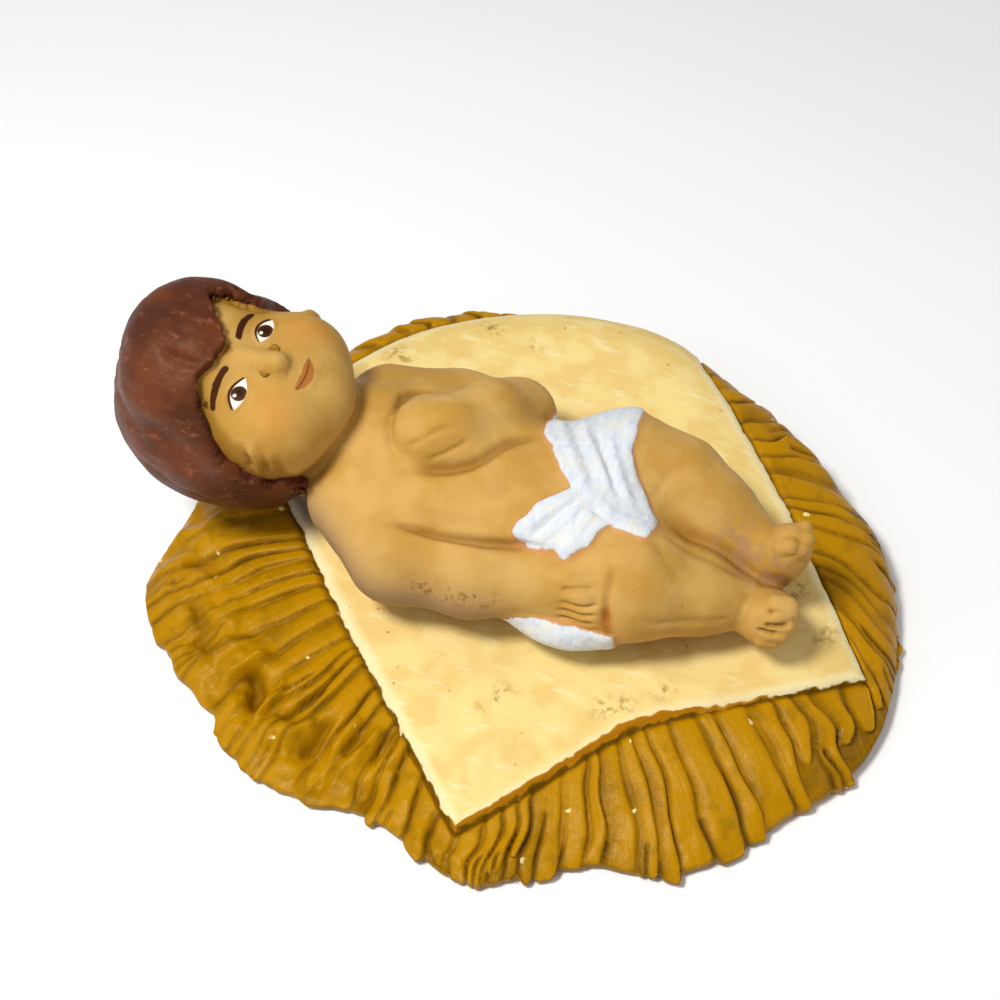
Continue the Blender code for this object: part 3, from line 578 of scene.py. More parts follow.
head = {
    "centre": (-48.2, -2.0, 19.0), "turn": (14.0, 10.0, 5.0),
    "radius": 26, "near": 34, "skinReach": 1.0,           # what may belong to the head
    "masses": (                                           # seen from the head's own centre: +X chin, +Z face
        ((-2, 0, -1.3), (15.4, 14.4, 15.4)), ((4.5, 0, 3.5), (12, 12.7, 11.5)), ((9, 0, 5), (8.6, 10.5, 9.8)),
        ((13.8, 0, 9), (4, 4.8, 3.8)), ((8.4, -6.6, 8.6), (6.2, 5.6, 5.4)),
        ((8.4, 6.6, 8.6), (6.2, 5.6, 5.4)), ((-7.5, 1.2, 9.4), (8, 9.4, 5.2)),
    ),
    "features": (                                         # nose, its wings, lips, eyeballs
        (((0.4, 0, 13.7, 1.3), (4.2, 0, 14.7, 1.4), (6.7, 0, 16.1, 1.7)), 1.5),
        (((7.6, -1.9, 14.2, 1.0), (7.2, -0.5, 15.2, 1.1)), 0.7),
        (((7.6, 1.9, 14.2, 1.0), (7.2, 0.5, 15.2, 1.1)), 0.7),
        (((10.6, -2.7, 12.8, 0.5), (10.55, -0.9, 14.2, 0.8), (10.75, 0, 14.2, 0.7), (10.55, 0.9, 14.2, 0.8),
          (10.6, 2.7, 12.8, 0.5)), 0.6),
        (((10.9, -2.3, 12.9, 0.5), (11.9, -0.8, 13.9, 0.9), (11.9, 0.8, 13.9, 0.9), (10.9, 2.3, 12.9, 0.5)),
         0.6),
    ),
    "featureBlend": 0.6,
    "eye": {"x": 2.9, "y": 5.6, "halfWidth": 2.5, "upper": 1.35, "lower": 1.0, "slope": 0.8,
            "iris": 1.2, "pupil": 0.55, "irisRise": 0.1, "lash": 0.2, "lashRise": 0.12,
            "glint": 0.28, "glintPlace": (0.5, 0.6)},
    "eyelid": {"depth": 0.24, "width": 0.34, "longer": 0.3, "upper": 0.35, "lower": 0.3, "fade": 0.75},
    "brow": {"above": 3.7, "halfLength": 2.7, "arch": 0.06, "halfWidth": 0.5, "taper": (0.6, 9, 0.3)},
    "mouth": {"x": 11.2, "bend": 0.075, "halfWidth": 3.0, "upper": 0.85, "lower": 1.1, "lowerPower": 0.8,
              "dip": 0.28, "dipWidth": 0.6, "line": 0.08, "lineHalf": 2.6},
    "faceFront": 4,                                       # the painted face lies in front of this
    "eyeball": ((2.9, 5.6, 10.5), (2.8, 3.3, 3.3)), "eyeballBlend": 0.8,
    "eyeSocket": {"x": 2.6, "length": 3.0, "width": 4.0, "depth": 1.0, "front": 8},
    "cheek": (8.6, 7.6, 3.2), "cheekFront": 2,            # place and size of the blush
    "faceCalm": 0.8,                                      # how much smoother the face is than the body
    "hairThickness": 1.4,
    "hairMasses": (
        ((4.5, 0, -7.5), (9.5, 12, 8.5)), ((-7.5, -2.4, 10.2), (7, 7, 4.8)), ((-7.5, 3.4, 10), (8, 7.6, 5)),
    ),
    "faceOpening": ((11.5, 0, 8.5), (17, 15.4, 14.5)),
    # the hairline against that opening, round from the near side: degrees, millimetres outwards
    "hairline": (
        (-150, 0), (-111, -1.0), (-93, -1.6), (-77, -0.6), (-64, 0), (-48, 0.1), (-33, 0.6), (-22, 0.9),
        (-10, -0.4), (3, -1.2), (9, 0.1), (17, 2.4), (23, 4.6), (29, 3.4), (36, 1.4), (43, 0.2), (60, 1.2),
        (100, 2.0), (140, 0.8),
    ),
    "hairlineWaves": ((0.16, 13, 1), (0.08, 29, 0)),      # height, waves round the head, shift
    "locks": {"depth": 0.34, "count": 11, "swirl": 0.14, "fade": 3.0, "crownDrop": 3.0, "sway": 0.5,
              "swayRate": 0.35, "bluntness": 0.8, "level": 0.6},
    "creases": (                                          # in the head's own space: path, width, depth
        (((10.5, -3, 12.7), (11.1, -1.2, 14.2), (11.2, 0, 14.4), (11.1, 1.2, 14.2), (10.5, 3, 12.7)),
         0.35, 0.45),
        (((8.6, -1.1, 14.9), (8.5, -0.6, 15.3)), 0.45, 0.5),
        (((8.6, 1.1, 14.9), (8.5, 0.6, 15.3)), 0.45, 0.5),
        (((9.5, 0, 14.4), (10.4, 0, 14.3)), 0.5, 0.18),
        (((13.4, -1.6, 12.9), (13.5, 0, 13.1), (13.4, 1.6, 12.9)), 0.8, 0.3),
    ),
    "earCreases": (                                       # the lower ear, drawn again on the far side
        (((6.4, -11.9, 10.9), (7.9, -12.6, 9.8), (8.5, -13.1, 7.6), (8.3, -13.2, 5.4)), 0.65, -0.85),
        (((6.6, -12.6, 9.2), (7.2, -13, 7.8), (7.3, -13.2, 6.4)), 0.7, 0.55),
        (((7.8, -11.5, 11.8), (9.3, -12.2, 9.9), (9.7, -12.7, 7.4), (9.2, -12.9, 4.9)), 0.5, 0.55),
    ),
}


def ellipsoid(points, centre, halfSizes, turn=None):
    offset = points - np.array(centre)
    if turn is not None:
        offset = offset @ np.array(Euler([math.radians(t) for t in turn]).to_matrix())
    scaled = np.linalg.norm(offset / halfSizes, axis=1)
    slope = np.linalg.norm(offset / np.square(halfSizes), axis=1)
    return scaled * (scaled - 1) / np.maximum(slope, 1e-9)


def limb(points, joints, width):
    found = None
    for start, end in zip(joints, joints[1:]):
        a, b = np.array(start[:3], float), np.array(end[:3], float)
        along = np.clip((points - a) @ (b - a) / ((b - a) @ (b - a)), 0, 1)
        reach = np.linalg.norm(points - (a + along[:, None] * (b - a)), axis=1)
        piece = reach - (start[3] + along * (end[3] - start[3]))
        found = piece if found is None else blended(found, piece, width)
    return found


def blended(first, second, width):
    share = np.maximum(width - np.abs(first - second), 0) / width
    return np.minimum(first, second) - share * share * width / 4


def trimmed(first, second, width):
    return -blended(-first, -second, width)


def blendAll(points, masses, width, found=None):
    for mass in masses:
        form = ellipsoid(points, *mass)
        found = form if found is None else blended(found, form, width)
    return found


def outlineDistance(x, y, corners):
    # distance from a closed outline, less than zero inside it
    points = np.stack([x, y], axis=1)
    nearest, inside = np.full(len(points), np.inf), np.zeros(len(points), bool)
    ring = np.array(corners, float)
    for a, b in zip(ring, np.roll(ring, -1, axis=0)):
        along = np.clip((points - a) @ (b - a) / ((b - a) @ (b - a)), 0, 1)
        nearest = np.minimum(nearest, np.linalg.norm(points - a - along[:, None] * (b - a), axis=1))
        if a[1] != b[1]:
            inside ^= ((a[1] > y) != (b[1] > y)) & (x < (b[0] - a[0]) * (y - a[1]) / (b[1] - a[1]) + a[0])
    return np.where(inside, -nearest, nearest)


def headSpace(points):
    turn = Euler([math.radians(t) for t in head["turn"]]).to_matrix()
    return (points - np.array(head["centre"])) @ np.array(turn)


def raised(form, edge, thickness):
    return form - thickness * smoothStep(0.5 - edge / child["edgeRamp"])


def hairEdge(local):
    # less than zero under the hair; the edge breaks into blunt locks
    around = np.arctan2(local[:, 1], head["faceOpening"][0][0] - local[:, 0])
    line = easedTable(around, head["hairline"])
    for height, waves, shift in head["hairlineWaves"]:
        line = line + height * np.sin(around * waves + shift)
    return line - ellipsoid(local, *head["faceOpening"])


def hairLocks(local, edge):
    locks = head["locks"]
    x = local[:, 0]
    around = np.arctan2(local[:, 1], local[:, 2] + locks["crownDrop"])
    turned = around * locks["count"] / 2 + x * locks["swirl"] + locks["sway"] * np.sin(x * locks["swayRate"])
    ridges = np.abs(np.sin(turned)) ** locks["bluntness"] - locks["level"]
    return locks["depth"] * ridges * np.clip(-edge / locks["fade"], 0, 1)


def headDistance(points):
    local = headSpace(points)
    found = blendAll(local, head["masses"], child["headBlend"])
    (x, y, z), sizes = head["eyeball"]
    socket = head["eyeSocket"]
    for side in (-1, 1):
        along = (local[:, 0] - socket["x"]) / socket["length"]
        across = (local[:, 1] - side * y) / socket["width"]
        hollow = np.exp(-(along ** 2 + across ** 2)) * smoothStep(local[:, 2] / socket["front"])
        found = found + socket["depth"] * hollow
        found = blended(found, ellipsoid(local, (x, side * y, z), sizes), head["eyeballBlend"])
    for joints, width in head["features"]:
        found = blended(found, limb(local, joints, head["featureBlend"]), width)
    skull = ellipsoid(local, *head["masses"][0])
    hair = blendAll(local, head["hairMasses"], child["headBlend"], skull)
    edge = hairEdge(local)
    found = blended(found, trimmed(hair, edge, child["softEdge"]), child["softEdge"])
    return raised(found, edge, head["hairThickness"] + hairLocks(local, edge))


def loinclothEdge(points):
    x, y, z = points.T
    turnover = child["loinclothTurnover"]
    front = np.maximum(outlineDistance(x, y, child["loinclothFront"]), turnover - z)
    behind = np.maximum(child["loinclothBehind"][0] - x, x - child["loinclothBehind"][1])
    return np.minimum(front, np.maximum(behind, z - turnover))


def withNear(points, found, centre, reach, change):
    # applies a change only to the points near a place, which is all that it can reach
    near = np.linalg.norm(points - np.array(centre), axis=1) < reach
    if near.any():
        found = found.copy()
        found[near] = change(points[near], found[near])
    return found


def childDistance(points):
    limbBlend, detailBlend = child["limbBlend"], child["detailBlend"]
    found = blendAll(points, child["masses"], child["torsoBlend"])
    for joints in child["legs"]:
        found = blended(found, limb(points, joints, limbBlend), limbBlend)
    found = withNear(points, found, *child["loinclothNear"],
                     lambda p, f: raised(f, loinclothEdge(p), child["loinclothThickness"]))
    found = blended(found, limb(points, child["neck"], limbBlend), child["torsoBlend"])
    for joints in child["arms"]:
        found = blended(found, limb(points, joints, limbBlend), limbBlend)
    found = blendAll(points, child["ends"], detailBlend, found)
    for joints in child["fingers"] + child["toes"]:
        found = withNear(points, found, joints[0][:3], child["fingerNear"],
                         lambda p, f: blended(f, limb(p, joints, 1), child["fingerBlend"]))
    found = withNear(points, found, head["centre"], head["near"],
                     lambda p, f: blended(f, headDistance(p), child["softEdge"]))
    return trimmed(found, child["lyingPlane"] - points[:, 2], child["softEdge"])


def addBall(shape, centre, halfSizes, turn=(0, 0, 0), frame=Matrix()):
    turned = Euler([math.radians(t) for t in turn]).to_matrix().to_4x4()
    placed = frame @ Matrix.Translation(centre) @ turned @ Matrix.Diagonal((*halfSizes, 1))
    bmesh.ops.create_icosphere(shape, subdivisions=4, radius=1.0, matrix=placed)


def roughChild():
    shape = bmesh.new()
    for mass in child["masses"] + child["ends"]:
        addBall(shape, *mass)
    for joints in (child["neck"], *child["legs"], *child["arms"], *child["fingers"], *child["toes"]):
        for start, end in zip(joints, joints[1:]):
            for step in range(child["limbSteps"]):
                x, y, z, radius = Vector(start).lerp(Vector(end), step / (child["limbSteps"] - 1))
                addBall(shape, (x, y, z), (radius, radius, radius))
    turn = Euler([math.radians(t) for t in head["turn"]]).to_matrix().to_4x4()
    placed = Matrix.Translation(head["centre"]) @ turn
    for mass in head["masses"] + head["hairMasses"]:
        addBall(shape, *mass, frame=placed)
    mesh = bpy.data.meshes.new("roughChild")
    shape.to_mesh(mesh)
    shape.free()
    rough = bpy.data.objects.new("roughChild", mesh)
    bpy.context.scene.collection.objects.link(rough)
    remesh = rough.modifiers.new("oneSkin", "REMESH")
    remesh.mode = "VOXEL"
    remesh.voxel_size = child["voxel"] * 1
    bpy.context.view_layer.update()
    graph = bpy.context.evaluated_depsgraph_get()
    skin = bpy.data.meshes.new_from_object(rough.evaluated_get(graph), depsgraph=graph)
    bpy.data.objects.remove(rough, do_unlink=True)
    return skin


def refined(mesh, places):
    # splits the faces near the places that carry fine modelling
    points = readPoints(mesh)
    fine = np.zeros(len(points), bool)
    for centre, reach in places:
        fine |= np.linalg.norm(points - np.array(centre), axis=1) < reach
    shape = bmesh.new()
    shape.from_mesh(mesh)
    shape.verts.ensure_lookup_table()
    edges = [edge for edge in shape.edges if fine[edge.verts[0].index] and fine[edge.verts[1].index]]
    bmesh.ops.subdivide_edges(shape, edges=edges, cuts=1, use_grid_fill=True)
    shape.to_mesh(mesh)
    shape.free()


def drawnToForm(points, rounds):
    # moves points down the form's own slope, which also mends the rough skin's seams
    step = 0.02                                           # for reading the slope
    for _ in range(rounds):
        distance = childDistance(points)
        ahead = [childDistance(points + offset) for offset in np.eye(3) * step]
        slope = np.stack([(there - distance) / step for there in ahead], 1)
        slope /= np.maximum(np.square(slope).sum(axis=1), 0.25)[:, None]
        points = points - slope * distance[:, None]
    return points


def pressedToForm(points, mesh):
    # moves points along the skin's own normals, which takes one reading of the form
    mesh.vertices.foreach_set("co", points.ravel())
    mesh.update()
    longest = child["longestPress"]
    return points - readNormals(mesh) * np.clip(childDistance(points), -longest, longest)[:, None]


def evenedOut(points, mesh, share=0.5):
    edges = np.empty(len(mesh.edges) * 2, int)
    mesh.edges.foreach_get("vertices", edges)
    first, second = edges.reshape(-1, 2).T
    total = np.zeros_like(points)
    for axis in range(3):
        total[:, axis] = np.bincount(first, points[second, axis], len(points))
        total[:, axis] += np.bincount(second, points[first, axis], len(points))
    count = np.bincount(edges, minlength=len(points))[:, None]
    return points * (1 - share) + total / count * share


def eyeShape(local, extraWidth=0.0, extraUpper=0.0, extraLower=0.0):
    # across and down from an eye's middle, the arch of its lids and their heights
    eye = head["eye"]
    across, down = np.abs(local[:, 1]) - eye["y"], local[:, 0] - eye["x"]
    arch = 1 - (across / (eye["halfWidth"] + extraWidth)) ** 2
    return across, down, arch, (eye["upper"] + extraUpper, eye["lower"] + extraLower)


def facePaint(local):
    # distances from the painted shapes of the face, less than zero inside them
    eye, brow, mouth = head["eye"], head["brow"], head["mouth"]
    y = local[:, 1]
    across, down, arch, (upper, lower) = eyeShape(local)
    opening = np.where(down < 0, -down - upper * arch, down - lower * arch) * eye["slope"]
    fromIris = np.hypot(across, down + eye["irisRise"])
    lash = np.abs(down + upper * arch + eye["lashRise"]) - eye["lash"]
    glintAcross, glintRise = eye["glintPlace"]
    glint = np.hypot(y + glintAcross - np.sign(y) * eye["y"], down + glintRise) - eye["glint"]

    rise = down + brow["above"] - brow["arch"] * across ** 2
    fromBrow = np.hypot(np.maximum(np.abs(across) - brow["halfLength"], 0), rise)
    start, length, least = brow["taper"]
    browHalf = brow["halfWidth"] * np.clip(1 - (across - start) / length, least, 1)

    fromMouth = local[:, 0] - mouth["x"] + mouth["bend"] * y ** 2
    lipArch = np.clip(1 - (y / mouth["halfWidth"]) ** 2, 0, 1)
    upperLip = mouth["upper"] * lipArch * (1 - mouth["dip"] * np.exp(-((y / mouth["dipWidth"]) ** 2)))
    lowerLip = mouth["lower"] * lipArch ** mouth["lowerPower"]
    lips = np.where(fromMouth < 0, -fromMouth - upperLip, fromMouth - lowerLip)
    shapes = {
        "eyeWhite": opening, "iris": np.maximum(fromIris - eye["iris"], opening),
        "pupil": fromIris - eye["pupil"], "glint": glint,
        "brow": fromBrow - browHalf, "lash": np.maximum(lash, np.abs(across) - eye["halfWidth"]),
        "lips": np.maximum(lips, np.abs(y) - mouth["halfWidth"]),
        "mouthLine": np.maximum(np.abs(fromMouth) - mouth["line"], np.abs(y) - mouth["lineHalf"]),
    }
    front = np.where(local[:, 2] > head["faceFront"], 0, farAway)
    return {name: distance + front for name, distance in shapes.items()}


def eyelidMarks(local):
    # a fine ridge along each eyelid
    lid = head["eyelid"]
    across, down, arch, (upper, lower) = eyeShape(local, lid["longer"], lid["upper"], lid["lower"])
    arch = np.clip(arch, 0, 1)
    edge = np.where(down < 0, -down - upper * arch, down - lower * arch)
    fade = smoothStep(2 - np.abs(across) / (head["eye"]["halfWidth"] * lid["fade"]))
    return -lid["depth"] * np.exp(-((edge / lid["width"]) ** 2)) * fade * (local[:, 2] > head["faceFront"])


def childPaintPlaces(points, normals, local, onHead):
    # what the paint reads at each point: distances, and places from 0 to 1
    paint = {name: np.where(onHead, value, farAway) for name, value in facePaint(local).items()}
    paint["hairEdge"] = np.where(onHead, hairEdge(local), farAway)
    nearArm = blendAll(points, child["ends"][:2], 1, limb(points, child["arms"][0], 2))
    covered = (points[:, 0] > child["loinclothStart"]) & (nearArm >= child["armClear"])
    paint["loinclothEdge"] = np.where(covered, loinclothEdge(points), farAway)
    # hollow: how closed in a point is, for the painted shade in the hollows
    reach = child["hollowReach"]
    paint["hollow"] = np.clip(1 - childDistance(points + normals * reach) / reach, 0, 1)
    cheekDown, cheekAcross, cheekSize = head["cheek"]
    cheeks = np.hypot(local[:, 0] - cheekDown, np.abs(local[:, 1]) - cheekAcross) / cheekSize
    paint["blush"] = np.where(onHead & (local[:, 2] > head["cheekFront"]), np.exp(-(cheeks ** 2)), 0)
    for name, (path, width) in child["marks"].items():
        paint[name] = np.clip(strokeMarks(points, [(path, width, 1)]), 0, 1)
    return paint


def sculptedSkin():
    mesh = roughChild()
    points = drawnToForm(readPoints(mesh), child["drawRounds"])
    mesh.vertices.foreach_set("co", points.ravel())
    for places in child["fineSpots"]:
        refined(mesh, places)
    points = readPoints(mesh)
    for _ in range(child["pressRounds"]):
        points = pressedToForm(evenedOut(points, mesh), mesh)
    mesh.vertices.foreach_set("co", points.ravel())
    mesh.update()
    return mesh, points


def makeChild(material):
    mesh, points = sculptedSkin()
    report("child sculpted")
    normals = readNormals(mesh)
    local = headSpace(points)
    onHead = np.linalg.norm(local, axis=1) < head["radius"]
    onHead[onHead] = headDistance(points[onHead]) < head["skinReach"]
    paint = childPaintPlaces(points, normals, local, onHead)
    inCloth = smoothStep(-paint["loinclothEdge"] / child["loinclothRun"])
    inHair = smoothStep(-paint["hairEdge"] / child["hairRun"])

    creases = strokeMarks(points, child["creases"])
    # painted shade: how deep each crease is, for darker paint there
    paint["creaseShade"] = np.clip(creases, 0, 1)
    marks = creases + strokeMarks(points, child["hairCreases"])
    marks = marks + strokeMarks(points, child["folds"]) * inCloth
    nearSide = local * np.where(local[:, 1:2] > 0, (1, -1, 1), 1)
    ears = strokeMarks(nearSide, head["earCreases"])
    marks = marks + (strokeMarks(local, head["creases"]) + ears + eyelidMarks(local)) * onHead
    calm = 1 - head["faceCalm"] * (onHead & (paint["hairEdge"] > 0))
    lumps = unevenLayers(points, child["lumps"]) * calm
    lumps = lumps + unevenLayers(points * child["clothStretch"], child["clothLumps"]) * inCloth
    lumps = lumps + unevenLayers(points * child["hairStretch"], child["hairLumps"]) * inHair
    points = points + normals * (lumps - marks)[:, None]

    low, high = (np.array(corner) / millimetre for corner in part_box("child"))
    least, most = points.min(0), points.max(0)
    points = low + (points - least) * (high - low) / (most - least)   # fills the same box as its solid
    mesh.vertices.foreach_set("co", (points * millimetre).ravel())
    mesh.update()
    mesh.name = "clayChild"
    mesh.shade_smooth()
    mesh.materials.clear()
    mesh.materials.append(material)
    setAttributes(mesh, paint)
    piece = bpy.data.objects.new("clayChild", mesh)
    bpy.context.scene.collection.objects.link(piece)
    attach(piece, "root")
    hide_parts("child")
    print("child faces:", len(mesh.polygons))
    return piece


# Small helpers for node materials

def colour(red, green, blue):
    # from screen values 0-255 to the linear values that a shader takes
    linear = [c / 255 / 12.92 if c < 10.3 else ((c / 255 + 0.055) / 1.055) ** 2.4 for c in (red, green, blue)]
    return (*linear, 1.0)


def addNode(tree, kind, *inputs, output=0, **settings):
    made = tree.nodes.new("ShaderNode" + kind)
    for key, value in settings.items():
        setattr(made, key, value)
    for socket, value in zip(made.inputs, inputs):
        if isinstance(value, bpy.types.NodeSocket):
            tree.links.new(value, socket)
        elif value is not None:
            socket.default_value = value
    return made.outputs[output]


def maths(tree, operation, *values):
    return addNode(tree, "Math", *values, operation=operation)


def times(tree, first, second):
    return maths(tree, "MULTIPLY", first, second)


def timesPlus(tree, first, second, third):
    return maths(tree, "MULTIPLY_ADD", first, second, third)


def plus(tree, first, second):
    return maths(tree, "ADD", first, second)


def mixed(tree, factor, first, second):
    made = tree.nodes.new("ShaderNodeMix")
    made.data_type = "RGBA"
    for socket, value in zip((made.inputs[0], made.inputs[6], made.inputs[7]), (factor, first, second)):
        if isinstance(value, bpy.types.NodeSocket):
            tree.links.new(value, socket)
        else:
            socket.default_value = value
    return made.outputs[2]


def coated(tree, under, coat, mask):
    # lays a coat, its colour and strength, over another paint where the mask is 1
    tint, strength = coat
    return mixed(tree, mask if strength == 1 else times(tree, mask, strength), under, tint)


def attribute(tree, name):
    made = tree.nodes.new("ShaderNodeAttribute")
    made.attribute_type, made.attribute_name = "GEOMETRY", name
    return made.outputs["Fac"]


def band(tree, value, low, high):
    # 0 below low, 1 above high; the other way round if low is the greater
    return addNode(tree, "MapRange", value, low, high, 0.0, 1.0, interpolation_type="SMOOTHSTEP")


def lumpy(tree, place, size, detail=2.0, rough=0.5):
    made = tree.nodes.new("ShaderNodeTexNoise")
    tree.links.new(place, made.inputs["Vector"])
    made.inputs["Scale"].default_value = 1 / size
    made.inputs["Detail"].default_value = detail
    made.inputs["Roughness"].default_value = rough
    return made.outputs["Fac"]


def stretched(tree, place, factors, turn=(0, 0, 0)):
    made = tree.nodes.new("ShaderNodeMapping")
    tree.links.new(place, made.inputs["Vector"])
    made.inputs["Scale"].default_value = factors
    made.inputs["Rotation"].default_value = [math.radians(t) for t in turn]
    return made.outputs["Vector"]


def specks(tree, place, size, radius):
    # 1 inside small round specks
    made = tree.nodes.new("ShaderNodeTexVoronoi")
    tree.links.new(place, made.inputs["Vector"])
    made.inputs["Scale"].default_value = 1 / size
    return band(tree, made.outputs["Distance"], radius, radius * 0.5)


def shaken(tree, place, size, amount):
    # pushes the place about, so that round marks come out as ragged chips
    made = tree.nodes.new("ShaderNodeTexNoise")
    tree.links.new(place, made.inputs["Vector"])
    made.inputs["Scale"].default_value = 1 / size
    push = addNode(tree, "VectorMath", made.outputs["Color"], (0.5, 0.5, 0.5), operation="SUBTRACT")
    push = addNode(tree, "VectorMath", push, None, None, amount, operation="SCALE")
    return addNode(tree, "VectorMath", place, push, operation="ADD")


def startPaint(name, look):
    material = bpy.data.materials.new(name)
    material.use_nodes = True
    tree = material.node_tree
    shader = tree.nodes["Principled BSDF"]
    shader.inputs["Specular IOR Level"].default_value = look["shine"]
    shader.inputs["Specular Tint"].default_value = look["shineTint"]
    place = addNode(tree, "TexCoord", output=3)
    place = addNode(tree, "VectorMath", place, None, None, 1 / millimetre, operation="SCALE")
    return material, tree, shader, place


def addBump(tree, shader, height, distance):
    made = tree.nodes.new("ShaderNodeBump")
    tree.links.new(height, made.inputs["Height"])
    made.inputs["Distance"].default_value = distance * millimetre
    tree.links.new(made.outputs["Normal"], shader.inputs["Normal"])


strawPaint = {
    "shine": 0.16, "shineTint": (1.0, 0.80, 0.48, 1.0), "bump": 0.15,
    "noise": {"wide": 6, "fine": 1.2, "tiny": 0.35, "streak": 0.8, "dirt": 3.4, "brush": 1.3, "smear": 1.5,
              "edge": 3, "chips": 5.0, "spots": 3.4, "shake": 1.4},      # mm
    "coats": {                                            # colour and strength of each
        "lowShade": (colour(128, 88, 0), 1), "crest": (colour(178, 126, 0), 1),
        "pale": (colour(204, 150, 28), 0.22), "dirt": (colour(116, 88, 8), 0.35),
        "shade": (colour(64, 38, 0), 0.25), "groove": (colour(64, 38, 0), 0.6),
        "edgeShadow": (colour(64, 38, 0), 0.75), "chip": (colour(236, 216, 152), 1),
        "cream": (colour(234, 208, 136), 1), "creamShade": (colour(226, 194, 118), 1),
        "brushed": (colour(240, 226, 178), 0.5), "paleEdge": (colour(240, 226, 178), 0.7),
        "spot": (colour(132, 104, 38), 0.7), "smear": (colour(132, 104, 38), 0.75),
        "blue": (colour(64, 78, 132), 0.8), "ochreEdge": (colour(172, 112, 4), 1),
    },
}


def makeBedPaint():
    material, tree, shader, place = startPaint("strawAndClothPaint", strawPaint)
    coat, size = strawPaint["coats"], strawPaint["noise"]
    groove, edge = attribute(tree, "groove"), attribute(tree, "clothEdge")
    wide, fine = lumpy(tree, place, size["wide"], 3), lumpy(tree, place, size["fine"], 3)
    tiny = lumpy(tree, place, size["tiny"], 2)
    bent = shaken(tree, place, size["shake"], 1.6)
    spoke = addNode(tree, "CombineXYZ", attribute(tree, "spokeX"), attribute(tree, "spokeY"))
    slowly = stretched(tree, place, (0.12, 0.12, 0.12))
    alongStraw = addNode(tree, "VectorMath", spoke, slowly, operation="ADD")
    streaks = lumpy(tree, alongStraw, size["streak"], 3)

    # painted shade: the straw is painted darker where its leaves lie low and lighter on their crests
    height = timesPlus(tree, wide, 0.8, attribute(tree, "swell"))
    straw = coated(tree, coat["lowShade"][0], coat["crest"], band(tree, height, 0.55, 1.25))
    straw = coated(tree, straw, coat["pale"], band(tree, streaks, 0.56, 0.74))
    straw = coated(tree, straw, coat["dirt"], band(tree, lumpy(tree, place, size["dirt"], 4), 0.54, 0.70))
    # painted shade: the straw is painted darker in and beside its grooves and dents
    straw = coated(tree, straw, coat["shade"], maths(tree, "POWER", groove, 0.5))
    straw = coated(tree, straw, coat["groove"], groove)
    chips = times(tree, specks(tree, bent, size["chips"], 0.11), band(tree, wide, 0.47, 0.52))
    straw = coated(tree, straw, coat["chip"], chips)
    # painted shadow: a dark line on the straw just outside the cloth's edge
    edgeShadow = times(tree, band(tree, edge, -0.1, 0.25), band(tree, edge, 0.9, 0.4))
    straw = coated(tree, straw, coat["edgeShadow"], edgeShadow)

    cream = coated(tree, coat["cream"][0], coat["creamShade"], band(tree, wide, 0.4, 0.62))
    brushed = lumpy(tree, stretched(tree, place, (0.25, 1, 1), (0, 0, 35)), size["brush"], 3)
    cream = coated(tree, cream, coat["brushed"], band(tree, brushed, 0.55, 0.75))
    spots = times(tree, specks(tree, bent, size["spots"], 0.09), band(tree, wide, 0.50, 0.56))
    cream = coated(tree, cream, coat["spot"], spots)
    smear = band(tree, lumpy(tree, place, size["smear"], 4, 0.65), 0.48, 0.60)
    cream = coated(tree, cream, coat["smear"], times(tree, smear, attribute(tree, "stain")))
    # bluish paint darkened as painted shade under the head
    cream = coated(tree, cream, coat["blue"], attribute(tree, "blueShade"))

    # the cloth's painted edge is ragged, pale inside and ochre at the front
    ragged = timesPlus(tree, lumpy(tree, place, size["edge"], 2), 1.4, times(tree, fine, 0.4))
    edgeHere = plus(tree, edge, maths(tree, "SUBTRACT", ragged, 0.9))
    onCloth = band(tree, edgeHere, 0.30, 0.05)
    cream = coated(tree, cream, coat["paleEdge"], band(tree, edgeHere, -2.2, -0.4))
    ochre = timesPlus(tree, attribute(tree, "ochreEdge"), 1.2, edgeHere)
    cream = coated(tree, cream, coat["ochreEdge"], band(tree, ochre, 0.35, 0.6))
    tree.links.new(mixed(tree, onCloth, straw, cream), shader.inputs["Base Color"])

    rough = plus(tree, times(tree, onCloth, 0.24), timesPlus(tree, fine, 0.3, 0.22))
    rough = timesPlus(tree, groove, 0.5, rough)
    tree.links.new(rough, shader.inputs["Roughness"])
    onStraw = maths(tree, "SUBTRACT", 1.0, onCloth)
    clothRelief = plus(tree, times(tree, tiny, 0.35), times(tree, brushed, onCloth))
    strawRelief = timesPlus(tree, streaks, 0.7, times(tree, fine, 0.9))
    relief = plus(tree, clothRelief, times(tree, strawRelief, onStraw))
    addBump(tree, shader, relief, strawPaint["bump"])
    return material


